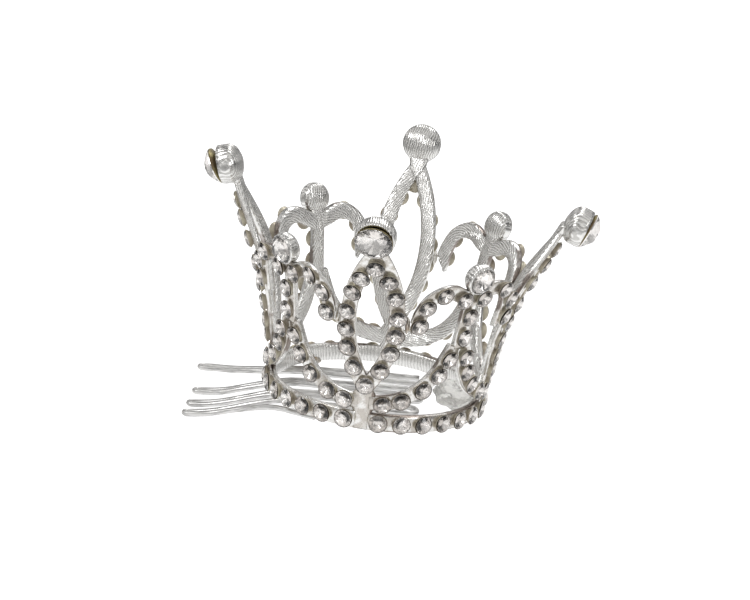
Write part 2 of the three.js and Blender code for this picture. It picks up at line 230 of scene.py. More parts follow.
class MeshMaker:
    """Collects closed shapes and makes one object of them, with each vertex's lay kept for the shaders."""

    def __init__(self) -> None:
        """Starts with nothing."""
        self.points: list[Vector] = []
        self.lays: list[Lay] = []
        self.faces: list[tuple[int, ...]] = []
        self.slots: list[int] = []
        self.flat: list[bool] = []

    def add(
        self,
        points: Sequence[Vector],
        lays: Sequence[Lay],
        faces: Iterable[Sequence[int]],
        slot: int = 0,
        flat: bool = False,
    ) -> None:
        """Adds one shape.

        Args:
            points: Its vertices in millimetres.
            lays: Each vertex's place on its own strip.
            faces: Its faces, as places in points.
            slot: Which of the object's materials it takes.
            flat: Whether its faces are shaded flat.
        """
        start = len(self.points)
        self.points.extend(points)
        self.lays.extend(lays)
        for face in faces:
            self.faces.append(tuple(start + i for i in face))
            self.slots.append(slot)
            self.flat.append(flat)

    def rings(
        self,
        rings: Sequence[Sequence[Vector]],
        lays: Sequence[Sequence[Lay]],
        slot: int = 0,
        closed: bool = False,
    ) -> None:
        """Adds a skin over rings of equal count, each ring closed on itself.

        Args:
            rings: The rings' points in order.
            lays: Each point's place on its own strip.
            slot: Which of the object's materials it takes.
            closed: Whether the last ring joins the first. If not, both ends get a fan.
        """
        count, last = len(rings[0]), len(rings) - 1
        points = [p for ring in rings for p in ring]
        marks = [m for ring in lays for m in ring]
        faces: list[tuple[int, ...]] = []
        for i in range(last + 1 if closed else last):
            here, there = i * count, (i + 1) % (last + 1) * count
            for j in range(count):
                k = (j + 1) % count
                faces.append((here + j, here + k, there + k, there + j))
        if not closed:
            for ring, turn in ((0, 1), (last, -1)):
                middle = sum(rings[ring], Vector()) / count
                points.append(middle)
                marks.append(tuple(sum(m[i] for m in lays[ring]) / count for i in range(3)))
                for j in range(count):
                    edge = (ring * count + (j + 1) % count, ring * count + j)
                    faces.append((*edge[::turn], len(points) - 1))
        self.add(points, marks, faces, slot)

    def build(self, name: str, materials: Sequence[bpy.types.Material]) -> bpy.types.Object:
        """Makes the object, with its faces in the order they were given.

        Args:
            name: The object's name.
            materials: Its materials in slot order.

        Returns:
            The object, at the origin.
        """
        mesh = bpy.data.meshes.new(name)
        mesh.from_pydata([p * MM for p in self.points], [], self.faces)
        lay = mesh.attributes.new(LAY, "FLOAT_VECTOR", "POINT")
        lay.data.foreach_set("vector", np.array(self.lays, np.float32).ravel())
        for material in materials:
            mesh.materials.append(material)
        mesh.polygons.foreach_set("material_index", self.slots)
        mesh.polygons.foreach_set("use_smooth", [not flat for flat in self.flat])
        mesh.update()
        return link(name, mesh)


def link(name: str, mesh: bpy.types.Mesh) -> bpy.types.Object:
    """Puts a mesh in the scene as an object at the origin.

    Args:
        name: The object's name.
        mesh: Its mesh.

    Returns:
        The object.
    """
    made = bpy.data.objects.new(name, mesh)
    bpy.context.scene.collection.objects.link(made)
    return made


def link_marked(
    name: str, points: Sequence[Vector], faces: Sequence[Sequence[int]], marked: Sequence[bool], smooth: bool
) -> bpy.types.Object:
    """Makes a prototype whose marked faces take its second material.

    Args:
        name: The object's name.
        points: Its vertices in millimetres.
        faces: Its faces, as places in points.
        marked: Whether each face takes the second material.
        smooth: Whether it is shaded smooth.

    Returns:
        The object, at the origin.
    """
    mesh = bpy.data.meshes.new(name)
    mesh.from_pydata([p * MM for p in points], [], faces)
    mesh.attributes.new(FOIL, "BOOLEAN", "FACE").data.foreach_set("value", marked)
    mesh.polygons.foreach_set("use_smooth", [smooth] * len(faces))
    mesh.update()
    return link(name, mesh)


def round_z(radius: float, angle: float, along: float) -> Vector:
    """A point at a radius and an angle in radians round the Z axis."""
    return Vector((radius * math.cos(angle), radius * math.sin(angle), along))


@dataclass(frozen=True)
class Section:
    """A cast strip's section: flat with soft edges outside, crowned inside."""

    thickness: float = 1.2
    crown: float = 0.1
    edge: float = 0.22

    def corners(self) -> list[tuple[float, float, float]]:
        """The section's points, anticlockwise from outside: side from -1 to 1, edge inset and out.

        Returns:
            Each point's side, inset from the strip's edge, and distance out.
        """
        deep = -self.thickness
        right = [
            (1, self.edge, 0.0),
            (1, 0.04, -0.12),
            (1, 0, -0.4),
            (1, 0, 0.62 * deep),
            (1, 0.1, 0.88 * deep),
            (1, 0.36, deep),
            (0.45, 0, deep - 0.7 * self.crown),
        ]
        *left, first = [(-side, inset, out) for side, inset, out in reversed(right)]
        return [first, (0, 0, 0.0), *right, (0, 0, deep - self.crown), *left]


@dataclass(frozen=True)
class Strip:
    """A strip along a smooth line on the sheet."""

    line: Sequence[Flat]
    width: float = 2.6
    steps: int = 40
    shift: float = 0.0
    taper: Callable[[float], float] = lambda share: 1.0
    section: Section = Section()
    skew: float = 0.0

    def lay_on(self, maker: MeshMaker, middle: float) -> None:
        """Adds the strip to a mesh.

        Args:
            maker: The mesh it becomes part of.
            middle: Angle of its sheet's middle line, in degrees.
        """
        nodes = smooth_line(self.line, self.steps)
        rings, lays, along = [], [], 0.0
        for i, node in enumerate(nodes):
            before, after = nodes[max(i - 1, 0)], nodes[min(i + 1, self.steps)]
            way = (after - before).normalized()
            side = Vector((way.y, -way.x))
            along += (node - nodes[i - 1]).length if i else 0.0
            half = self.width / 2 * self.taper(i / self.steps)
            slant = self.skew * smoothstep(i / self.steps, 0.84, 1)
            ring, marks = [], []
            for turn, inset, out in self.section.corners():
                reach = turn * max(half - inset, 0.02)
                place = node + side * reach + way * slant * turn
                ring.append(WALL.point(middle, place.x, place.y, out + self.shift))
                marks.append((reach, along, out))
            rings.append(ring)
            lays.append(marks)
        maker.rings(rings, lays)


@dataclass(frozen=True)
class Axis:
    """A tilted axis on which cups and gems are turned: out and height are its origin."""

    middle: float
    out: float
    height: float
    tilt: float

    def matrix(self) -> Matrix:
        """Turns a shape made round Z so that Z points out of the crown and down by the tilt.

        Returns:
            The matrix, for points in millimetres.
        """
        turn = Matrix.Rotation(math.radians(self.middle), 4, "Z")
        place = Matrix.Translation((0, -self.out, self.height))
        return turn @ place @ Matrix.Rotation(math.radians(90 + self.tilt), 4, "X")

    def lathe(
        self,
        maker: MeshMaker,
        profile: Sequence[Flat],
        sides: int,
        slot: int = 0,
        wobble: float = 0.0,
    ) -> None:
        """Turns a closed profile of (radius, along) round the axis; both ends lie on it.

        Args:
            maker: The mesh it becomes part of.
            profile: The profile's points in order.
            sides: How many points each ring has.
            slot: Which of the object's materials it takes.
            wobble: How far the surface strays, in millimetres.
        """
        place = self.matrix()
        rings, lays = [], []
        for radius, along in profile:
            ring, marks = [], []
            for i in range(sides):
                spot = round_z(radius, 2 * math.pi * i / sides, along)
                if wobble:
                    spot += wobble * noise.noise_vector(spot * 0.6 + Vector((self.middle, 0, 0)))
                ring.append(place @ spot)
                marks.append((spot.x, spot.y, spot.z - INWARDS))
            rings.append(ring)
            lays.append(marks)
        maker.rings(rings, lays, slot)


# ---- Faceted stones ----


@dataclass(frozen=True)
class Chaton:
    """A foil-backed glass stone with a flat table, kite facets, a girdle and a pointed back."""

    radius: float
    crown: float
    pavilion: float
    table: float = 0.5
    girdle: float = 0.1
    mains: int = 8

    def ring(self, share: float, along: float, count: int, turn: float) -> list[Vector]:
        """Points round the stone at a share of its radius, turned by a share of one step.

        Args:
            share: Share of the stone's radius.
            along: Height over the girdle.
            count: How many points.
            turn: Share of a step by which they are turned.

        Returns:
            The points in order.
        """
        step = 2 * math.pi / count
        return [round_z(share * self.radius, (i + turn) * step, along) for i in range(count)]

    def shape(self) -> tuple[list[Vector], list[tuple[int, ...]], list[bool]]:
        """The stone's vertices, its faces turned outwards, and whether each face is foiled.

        Returns:
            The vertices, the faces as places in them, and a mark for each face.
        """
        n = self.mains
        table = self.ring(self.table, self.crown, n, 0.5)
        middle = self.ring((self.table + 1) / 2 + 0.04, 0.56 * self.crown, n, 0)
        upper = self.ring(1, self.girdle / 2, 2 * n, 0)
        lower = self.ring(1, -self.girdle / 2, 2 * n, 0)
        points = [*table, *middle, *upper, *lower, Vector((0, 0, -self.pavilion))]
        t, m, u, w, tip = 0, n, 2 * n, 4 * n, 6 * n
        faces: list[tuple[int, ...]] = [tuple(t + i for i in range(n))]
        foiled = [False]
        for i in range(n):
            j = (i + 1) % n
            faces.append((t + (i - 1) % n, m + i, t + i))
            faces.append((t + i, m + i, u + (2 * i + 1) % (2 * n), m + j))
            faces.append((m + i, u + 2 * i, u + 2 * i + 1))
            faces.append((m + i, u + (2 * i - 1) % (2 * n), u + 2 * i))
            foiled += [False] * 4
        for i in range(2 * n):
            j = (i + 1) % (2 * n)
            faces.append((u + i, w + i, w + j, u + j))
            foiled.append(True)
        for i in range(n):
            a, b, c = (2 * i - 1) % (2 * n), 2 * i, (2 * i + 1) % (2 * n)
            faces.append((w + b, w + a, tip))
            faces.append((w + c, w + b, tip))
            foiled += [True] * 2
        return points, faces, foiled

    def prototype(self, name: str) -> bpy.types.Object:
        """An object of the stone alone, with its foiled faces marked, for rows to repeat."""
        return link_marked(name, *self.shape(), smooth=False)


@dataclass(frozen=True)
class Seat:
    """The small cast cup that a row's stone sits in, open towards the stone."""

    radius: float = 1.59
    wall: float = 0.05
    rim: float = 0.64
    foot: float = 1.0
    floor: float = 0.02
    sides: int = 18

    def prototype(self, name: str) -> bpy.types.Object:
        """An object of the cup alone; its inside is marked as the dark gap round the stone, tarnish with
        painted shade.

        Args:
            name: The object's name.

        Returns:
            The object, at the origin.
        """
        profile = [
            (0.0, -0.3, False),
            (self.foot, -0.3, False),
            (self.foot + 0.2, 0.1, False),
            (self.radius - 0.14, 0.6 * self.rim, False),
            (self.radius, self.rim - 0.08, False),
            (self.radius - 0.02, self.rim, False),
            (self.radius - self.wall, self.rim - 0.02, True),
            (self.radius - 0.27, 0.55 * self.rim, True),
            (0.0, self.floor, True),
        ]
        points: list[Vector] = []
        for radius, along, _ in profile:
            if not radius:
                points.append(Vector((0, 0, along)))
                continue
            points += [round_z(radius, 2 * math.pi * i / self.sides, along) for i in range(self.sides)]
        faces, dark = [], []
        last = len(points) - 1
        for j in range(self.sides):
            k = (j + 1) % self.sides
            faces.append((0, 1 + k, 1 + j))
            dark.append(False)
            for i in range(len(profile) - 3):
                here, there = 1 + i * self.sides, 1 + (i + 1) * self.sides
                faces.append((here + j, here + k, there + k, there + j))
                dark.append(profile[i + 2][2])
            rim = last - self.sides
            faces.append((rim + j, rim + k, last))
            dark.append(True)
        return link_marked(name, points, faces, dark, smooth=True)


# ---- Node helpers ----


class Nodes:
    """Short calls for building a node tree."""

    def __init__(self, tree: bpy.types.NodeTree) -> None:
        """Works on the given tree."""
        self.tree = tree

    def add(self, kind: str, **settings: object) -> bpy.types.Node:
        """A new node.

        Args:
            kind: Its bl_idname.
            **settings: Properties of the node; a value for an input is given by set().

        Returns:
            The node.
        """
        made = self.tree.nodes.new(kind)
        for name, value in settings.items():
            setattr(made, name, value)
        return made

    def join(self, source: bpy.types.NodeSocket, target: bpy.types.NodeSocket) -> None:
        """A link from an output to an input."""
        self.tree.links.new(source, target)

    def math(self, operation: str, first: object, second: object = 0.0) -> bpy.types.NodeSocket:
        """A Math node's output; either input may be a socket or a number.

        Args:
            operation: The node's operation.
            first: A socket or a number.
            second: A socket or a number.

        Returns:
            The result.
        """
        node = self.add("ShaderNodeMath", operation=operation)
        for place, value in enumerate((first, second)):
            self.feed(value, node.inputs[place])
        return node.outputs[0]

    def times(self, first: object, second: object) -> bpy.types.NodeSocket:
        """The product of two sockets or numbers."""
        return self.math("MULTIPLY", first, second)

    def plus(self, first: object, second: object) -> bpy.types.NodeSocket:
        """The sum of two sockets or numbers."""
        return self.math("ADD", first, second)

    def feed(self, value: object, target: bpy.types.NodeSocket) -> None:
        """Joins a socket or sets a plain value.

        Args:
            value: The socket or value.
            target: The input that takes it.
        """
        if isinstance(value, bpy.types.NodeSocket):
            self.join(value, target)
        else:
            target.default_value = value

    def mix(self, share: object, first: object, second: object) -> bpy.types.NodeSocket:
        """A colour between two, by a share that is a socket or a number.

        Args:
            share: 0 for the first, 1 for the second.
            first: A socket or a colour.
            second: A socket or a colour.

        Returns:
            The colour.
        """
        node = self.add("ShaderNodeMix", data_type="RGBA")
        self.feed(share, node.inputs["Factor"])
        self.feed(first, node.inputs[6])
        self.feed(second, node.inputs[7])
        return node.outputs[2]

    def ramp(self, share: bpy.types.NodeSocket, low: float, high: float) -> bpy.types.NodeSocket:
        """The share stretched so that low gives 0 and high gives 1.

        Args:
            share: The value to stretch.
            low: What gives 0.
            high: What gives 1.

        Returns:
            The stretched value, clamped.
        """
        node = self.add("ShaderNodeMapRange", interpolation_type="SMOOTHSTEP")
        self.join(share, node.inputs["Value"])
        node.inputs["From Min"].default_value = low
        node.inputs["From Max"].default_value = high
        return node.outputs["Result"]

    def noise(self, coordinates: bpy.types.NodeSocket, scale: float, detail: float) -> bpy.types.NodeSocket:
        """A noise texture's value.

        Args:
            coordinates: Where the texture is read.
            scale: Its scale.
            detail: Its detail.

        Returns:
            The value, about 0.5 on average.
        """
        node = self.add("ShaderNodeTexNoise")
        self.join(coordinates, node.inputs["Vector"])
        node.inputs["Scale"].default_value = scale
        node.inputs["Detail"].default_value = detail
        return node.outputs["Fac"]


GroupParts = tuple[Nodes, bpy.types.Node, bpy.types.Node]  # nodes, input node, output node


class ShaderGroups:
    """The effects that several finishes share, each built once.

    Ridges are worked out over the lay, in millimetres; residue and marks over the place, in metres.
    """

    WANDER = 0.8
    WANDER_SCALE = 0.5
    ROUGH_SCALE = 7.0
    UNEVEN_SCALE = 0.9
    PATCH_SCALE = 650.0
    STRETCH_SCALE = 150.0
    STRIP_SIDE = (1.18, 1.27)  # distances from a strip's middle line between which its side begins
    BROAD_SCALE = 300.0
    FINE_SCALE = 2600.0

    def __init__(self) -> None:
        """Builds the groups."""
        self.ridges = self._ridges()
        self.residue = self._residue()
        self.marks = self._marks()

    @staticmethod
    def _start(name: str, inputs: dict[str, str], outputs: Sequence[str]) -> GroupParts:
        """A new group with its sockets, its inputs' node and its outputs' node.

        Args:
            name: The group's name.
            inputs: Each input's name and socket type.
            outputs: The outputs' names, all numbers.

        Returns:
            The group's nodes, its input node and its output node.
        """
        tree = bpy.data.node_groups.new(name, "ShaderNodeTree")
        for label, kind in inputs.items():
            tree.interface.new_socket(label, in_out="INPUT", socket_type=kind)
        for label in outputs:
            tree.interface.new_socket(label, in_out="OUTPUT", socket_type=NUMBER)
        nodes = Nodes(tree)
        return nodes, nodes.add("NodeGroupInput"), nodes.add("NodeGroupOutput")

    def _ridges(self) -> bpy.types.NodeTree:
        """Fine slanting lines left by the mould on inner faces: Height, and a Mask of where they are.

        Returns:
            The group.
        """
        nodes, given, result = self._start(
            "Casting ridges",
            {"Lay": VECTOR, "Period": NUMBER, "Across": NUMBER, "Along": NUMBER},
            ["Height", "Mask"],
        )
        parts = nodes.add("ShaderNodeSeparateXYZ")
        nodes.join(given.outputs["Lay"], parts.inputs[0])
        wander = nodes.noise(given.outputs["Lay"], self.WANDER_SCALE, 1.0)
        across = nodes.times(parts.outputs["X"], given.outputs["Across"])
        along = nodes.times(parts.outputs["Y"], given.outputs["Along"])
        phase = nodes.plus(nodes.plus(across, along), nodes.times(wander, self.WANDER))
        turns = nodes.times(nodes.math("DIVIDE", phase, given.outputs["Period"]), 2 * math.pi)
        wave = nodes.math("SINE", turns)
        rough = nodes.noise(given.outputs["Lay"], self.ROUGH_SCALE, 2.0)
        uneven = nodes.ramp(nodes.noise(given.outputs["Lay"], self.UNEVEN_SCALE, 2.0), 0.35, 0.65)
        lines = nodes.times(wave, nodes.plus(nodes.times(uneven, 0.45), 0.3))
        height = nodes.plus(lines, nodes.times(rough, 0.5))
        inside = nodes.ramp(nodes.times(parts.outputs["Z"], -1.0), 0.7, 1.0)
        nodes.join(nodes.times(height, inside), result.inputs["Height"])
        nodes.join(inside, result.inputs["Mask"])
        return nodes.tree

    def _residue(self) -> bpy.types.NodeTree:
        """Brown-grey residue on outer faces between the stones, a Mask, and tarnish on the sides, Edge.

        Returns:
            The group.
        """
        nodes, given, result = self._start("Residue", {"Place": VECTOR, "Lay": VECTOR}, ["Mask", "Edge"])
        parts = nodes.add("ShaderNodeSeparateXYZ")
        nodes.join(given.outputs["Lay"], parts.inputs[0])
        outside = nodes.ramp(parts.outputs["Z"], -0.5, -0.05)
        patches = nodes.ramp(nodes.noise(given.outputs["Place"], self.PATCH_SCALE, 3.0), 0.38, 0.6)
        nodes.join(nodes.times(outside, patches), result.inputs["Mask"])
        side = nodes.ramp(nodes.math("ABSOLUTE", parts.outputs["X"]), *self.STRIP_SIDE)
        shallow = nodes.times(side, nodes.ramp(parts.outputs["Z"], -1.15, -0.95))
        stretches = nodes.ramp(nodes.noise(given.outputs["Place"], self.STRETCH_SCALE, 3.0), 0.48, 0.58)
        nodes.join(nodes.times(shallow, stretches), result.inputs["Edge"])
        return nodes.tree

    def _marks(self) -> bpy.types.NodeTree:
        """Handling marks: a Value that varies the roughness, and a small Height.

        Returns:
            The group.
        """
        nodes, given, result = self._start("Handling marks", {"Place": VECTOR}, ["Value", "Height"])
        broad = nodes.noise(given.outputs["Place"], self.BROAD_SCALE, 4.0)
        fine = nodes.noise(given.outputs["Place"], self.FINE_SCALE, 2.0)
        nodes.join(broad, result.inputs["Value"])
        nodes.join(fine, result.inputs["Height"])
        return nodes.tree


class Finish:
    """One material, built from its settings and the shared groups."""

    def __init__(self, name: str, groups: ShaderGroups) -> None:
        """Starts a material with a Principled BSDF.

        Args:
            name: The material's name.
            groups: The shared effects.
        """
        self.groups = groups
        self.material = bpy.data.materials.new(name)
        self.material.use_nodes = True
        self.material.node_tree.nodes.clear()
        self.nodes = Nodes(self.material.node_tree)
        self.surface = self.nodes.add("ShaderNodeBsdfPrincipled")
        self.result = self.nodes.add("ShaderNodeOutputMaterial")
        self.nodes.join(self.surface.outputs[0], self.result.inputs["Surface"])
        self.place = self.nodes.add("ShaderNodeTexCoord").outputs["Object"]

    def attribute(self, name: str) -> bpy.types.Node:
        """The node that reads one of the mesh's attributes."""
        return self.nodes.add("ShaderNodeAttribute", attribute_name=name)

    def group(self, tree: bpy.types.NodeTree, **inputs: object) -> bpy.types.Node:
        """A shared group's node with its inputs fed.

        Args:
            tree: The group.
            **inputs: What each of its inputs is given.

        Returns:
            The group's node.
        """
        node = self.nodes.add("ShaderNodeGroup", node_tree=tree)
        for name, value in inputs.items():
            self.nodes.feed(value, node.inputs[name])
        return node

    def marks(self) -> bpy.types.Node:
        """The handling marks' node."""
        return self.group(self.groups.marks, Place=self.place)

    def colour(self, share: bpy.types.NodeSocket, first: object, second: object) -> None:
        """Feeds the surface's colour from two, by a share."""
        self.nodes.join(self.nodes.mix(share, first, second), self.surface.inputs["Base Color"])

    def bump(self, height: bpy.types.NodeSocket, distance: float) -> None:
        """Feeds the surface's normal from a height in millimetres.

        Args:
            height: The height that varies.
            distance: How deep a height of 1 is, in millimetres.
        """
        node = self.nodes.add("ShaderNodeBump")
        node.inputs["Strength"].default_value = 1.0
        node.inputs["Distance"].default_value = distance * MM
        self.nodes.join(height, node.inputs["Height"])
        self.nodes.join(node.outputs[0], self.surface.inputs["Normal"])

    def roughness(self, low: float, high: float, value: bpy.types.NodeSocket) -> None:
        """Roughness from low to high by a value from 0 to 1."""
        span = self.nodes.times(value, high - low)
        self.nodes.join(self.nodes.plus(span, low), self.surface.inputs["Roughness"])

    def set(self, **values: object) -> None:
        """Sets uniform values on the surface; underscores stand for spaces."""
        for name, value in values.items():
            self.surface.inputs[name.replace("_", " ")].default_value = value


Colour = tuple[float, float, float, float]


@dataclass(frozen=True)
class Silver:
    """Bright silver plate over a casting, ridged inside, with painted shade in the ridges' grooves and
    residue between the stones.
    """

    name: str = "Silver"
    plate: Colour = (0.86, 0.855, 0.84, 1)
    # shade is the colour of the painted shade in the ridges' grooves
    shade: Colour = (0.42, 0.41, 0.39, 1)
    residue: Colour = (0.34, 0.28, 0.21, 1)
    tarnish: Colour = (0.2, 0.155, 0.13, 1)
    period: float = 0.42
    across: float = 1.0
    along: float = 0.42
    ridge_depth: float = 0.05
    # how strongly the ridges' grooves are painted with shade
    painted_groove_shade: float = 0.6
    smooth: float = 0.14

    def build(self, groups: ShaderGroups) -> bpy.types.Material:
        """Makes the material.

        Args:
            groups: The shared effects.

        Returns:
            The material.
        """
        finish = Finish(self.name, groups)
        nodes = finish.nodes
        lay = finish.attribute(LAY).outputs["Vector"]
        slope = {"Across": self.across, "Along": self.along}
        ridges = finish.group(groups.ridges, Lay=lay, Period=self.period, **slope)
        marks = finish.marks()
        residue = finish.group(groups.residue, Place=finish.place, Lay=lay)
        # Painted shade: the ridges' low parts on inner faces are mixed towards the shade colour, so the
        # grooves show as dark lines.
        low = nodes.ramp(ridges.outputs["Height"], 0.5, -0.2)
        painted_groove_shade = nodes.times(low, nodes.times(ridges.outputs["Mask"], self.painted_groove_shade))
        plated = nodes.mix(painted_groove_shade, self.plate, self.shade)
        worn = nodes.mix(nodes.times(residue.outputs["Mask"], 0.5), plated, self.residue)
        finish.colour(nodes.times(residue.outputs["Edge"], 0.85), worn, self.tarnish)
        metal = nodes.math("SUBTRACT", 1.0, nodes.times(residue.outputs["Mask"], 0.3))
        nodes.join(metal, finish.surface.inputs["Metallic"])
        finish.roughness(self.smooth, self.smooth + 0.2, marks.outputs["Value"])
        height = nodes.plus(ridges.outputs["Height"], nodes.times(marks.outputs["Height"], 0.35))
        finish.bump(height, self.ridge_depth)
        return finish.material


@dataclass(frozen=True)
class DarkGap:
    """Tarnish and painted shade in the narrow gap round a stone."""

    dark: Colour = (0.13, 0.105, 0.085, 1)
    light: Colour = (0.42, 0.36, 0.29, 1)

    def build(self, groups: ShaderGroups) -> bpy.types.Material:
        """Makes the material.

        Args:
            groups: The shared effects.

        Returns:
            The material.
        """
        finish = Finish("Tarnished gap", groups)
        marks = finish.marks()
        tone = finish.nodes.ramp(marks.outputs["Value"], 0.4, 0.66)
        # The gap's dark colour is partly tarnish and partly painted shade between the stone and its cup.
        finish.colour(tone, self.dark, self.light)
        finish.set(Metallic=0.35)
        finish.roughness(0.45, 0.75, marks.outputs["Height"])
        return finish.material


@dataclass(frozen=True)
class Glass:
    """Clear crystal glass, faintly marked."""

    tint: Colour = (0.99, 0.985, 0.98, 1)
    index: float = 1.56
    low: float = 0.0
    high: float = 0.03

    def build(self, groups: ShaderGroups) -> bpy.types.Material:
        """Makes the material.

        Args:
            groups: The shared effects.

        Returns:
            The material.
        """
        finish = Finish("Crystal", groups)
        marks = finish.marks()
        finish.set(Base_Color=self.tint, Transmission_Weight=1.0, IOR=self.index, Metallic=0.0)
        finish.roughness(self.low, self.high, marks.outputs["Value"])
        return finish.material


@dataclass(frozen=True)
class Foil:
    """The mirror foil on a stone's back, which differs from stone to stone."""

    bright: Colour = (0.97, 0.95, 0.935, 1)
    dull: Colour = (0.8, 0.77, 0.745, 1)

    def build(self, groups: ShaderGroups) -> bpy.types.Material:
        """Makes the material.

        Args:
            groups: The shared effects.

        Returns:
            The material.
        """
        finish = Finish("Stone foil", groups)
        nodes = finish.nodes
        tone = finish.attribute(TONE).outputs["Fac"]
        patches = nodes.noise(finish.place, 900.0, 2.0)
        share = nodes.ramp(nodes.plus(nodes.times(tone, 0.6), patches), 0.35, 1.0)
        finish.colour(share, self.bright, self.dull)
        finish.set(Metallic=1.0)
        finish.roughness(0.06, 0.2, patches)
        return finish.material


@dataclass(frozen=True)
class Lacquer:
    """The olive lacquer on the outside of a stone's foil."""

    name: str = "Foil lacquer"
    olive: Colour = (0.3, 0.26, 0.11, 1)
    brown: Colour = (0.16, 0.115, 0.06, 1)

    def build(self, groups: ShaderGroups) -> bpy.types.Material:
        """Makes the material.

        Args:
            groups: The shared effects.

        Returns:
            The material.
        """
        finish = Finish(self.name, groups)
        marks = finish.marks()
        tone = finish.nodes.ramp(marks.outputs["Value"], 0.35, 0.65)
        finish.colour(tone, self.olive, self.brown)
        finish.set(Metallic=0.5)
        finish.roughness(0.25, 0.5, marks.outputs["Height"])
        finish.bump(marks.outputs["Height"], 0.04)
        return finish.material


@dataclass(frozen=True)
class Solder:
    """Soft solder, bright where it flowed and brown where flux burnt on."""

    bright: Colour = (0.78, 0.76, 0.72, 1)
    burnt: Colour = (0.36, 0.24, 0.13, 1)

    def build(self, groups: ShaderGroups) -> bpy.types.Material:
        """Makes the material.

        Args:
            groups: The shared effects.

        Returns:
            The material.
        """
        finish = Finish("Solder", groups)
        marks = finish.marks()
        tone = finish.nodes.ramp(marks.outputs["Value"], 0.42, 0.62)
        finish.colour(tone, self.bright, self.burnt)
        metal = finish.nodes.math("SUBTRACT", 1.0, finish.nodes.times(tone, 0.5))
        finish.nodes.join(metal, finish.surface.inputs["Metallic"])
        finish.roughness(0.2, 0.5, tone)
        finish.bump(marks.outputs["Height"], 0.05)
        return finish.material


@dataclass(frozen=True)
class DrawnWire:
    """Plated drawn wire with fine lines along it."""

    light: Colour = (0.74, 0.735, 0.725, 1)
    grey: Colour = (0.36, 0.355, 0.35, 1)

    def build(self, groups: ShaderGroups) -> bpy.types.Material:
        """Makes the material.

        Args:
            groups: The shared effects.

        Returns:
            The material.
        """
        finish = Finish("Comb wire", groups)
        nodes = finish.nodes
        marks = finish.marks()
        lay = finish.attribute(LAY).outputs["Vector"]
        stretch = nodes.add("ShaderNodeMapping")
        nodes.join(lay, stretch.inputs["Vector"])
        stretch.inputs["Scale"].default_value = (6.0, 0.25, 1.0)
        lines = nodes.noise(stretch.outputs[0], 1.6, 3.0)
        tone = nodes.ramp(lines, 0.42, 0.7)
        finish.colour(tone, self.light, self.grey)
        finish.set(Metallic=1.0)
        finish.roughness(0.24, 0.42, marks.outputs["Value"])
        finish.bump(nodes.plus(lines, nodes.times(marks.outputs["Height"], 0.4)), 0.03)
        return finish.material


@dataclass(frozen=True)
class Adhesive:
    """Clear set adhesive with a slightly milky, lumpy skin."""

    tint: Colour = (0.93, 0.925, 0.9, 1)

    def build(self, groups: ShaderGroups) -> bpy.types.Material:
        """Makes the material.

        Args:
            groups: The shared effects.

        Returns:
            The material.
        """
        finish = Finish("Clear adhesive", groups)
        marks = finish.marks()
        finish.set(Base_Color=self.tint, Transmission_Weight=0.75, IOR=1.47, Metallic=0.0)
        finish.roughness(0.06, 0.3, marks.outputs["Value"])
        finish.bump(finish.nodes.noise(finish.place, 520.0, 3.0), 0.6)
        return finish.material


@dataclass(frozen=True)
class Paper:
    """The plain white surface that the crown stands on: evenly bright to the camera, with a painted glow
    pooled round the crown that reflections see.
    """

    white: Colour = (0.42, 0.42, 0.42, 1)
    glow: float = 0.72
    extra: float = 0.25
    near: float = 0.05
    far: float = 0.15

    def build(self, groups: ShaderGroups) -> bpy.types.Material:
        """Makes the material.

        Args:
            groups: The shared effects.

        Returns:
            The material.
        """
        finish = Finish("White paper", groups)
        nodes = finish.nodes
        grain = nodes.noise(finish.place, 60.0, 3.0)
        faint = tuple(0.97 * v for v in self.white[:3]) + (1,)
        finish.colour(grain, self.white, faint)
        distance = nodes.add("ShaderNodeVectorMath", operation="LENGTH")
        nodes.join(finish.place, distance.inputs[0])
        # Painted glow: in reflections the floor glows most within near of the crown and not at all past far;
        # camera rays see it evenly bright.
        painted_glow_pool = nodes.ramp(distance.outputs["Value"], self.far, self.near)
        seen = nodes.add("ShaderNodeLightPath").outputs["Is Camera Ray"]
        even = nodes.math("MAXIMUM", seen, painted_glow_pool)
        lit = nodes.plus(nodes.times(even, self.glow), nodes.times(seen, self.extra))
        nodes.join(lit, finish.surface.inputs["Emission Strength"])
        finish.set(Emission_Color=(1, 1, 1, 1), Specular_IOR_Level=0.1)
        finish.roughness(0.75, 0.9, grain)
        return finish.material


class Palette:
    """Every finish, built once."""

    def __init__(self) -> None:
        """Builds the shared groups and the materials."""
        groups = ShaderGroups()
        self.silver = Silver().build(groups)
        band = Silver("Band silver", period=0.62, across=0.12, along=1.0, ridge_depth=0.03, painted_groove_shade=0.35)
        self.band_silver = band.build(groups)
        cup = Silver("Cup silver", period=0.4, across=1.0, along=0.12, ridge_depth=0.045, smooth=0.06)
        self.cup_silver = cup.build(groups)
        self.gap = DarkGap().build(groups)
        self.glass = Glass().build(groups)
        self.foil = Foil().build(groups)
        self.lacquer = Lacquer().build(groups)
        seat = Lacquer("Setting lacquer", olive=(0.6, 0.56, 0.45, 1), brown=(0.4, 0.35, 0.28, 1))
        self.seat = seat.build(groups)
        self.solder = Solder().build(groups)
        self.wire = DrawnWire().build(groups)
        self.adhesive = Adhesive().build(groups)
        self.paper = Paper().build(groups)


# ---- Rows of stones ----


@dataclass(frozen=True)
class Placing:
    """Where one stone of a row sits."""

    spot: Vector
    facing: Vector
    along: Vector


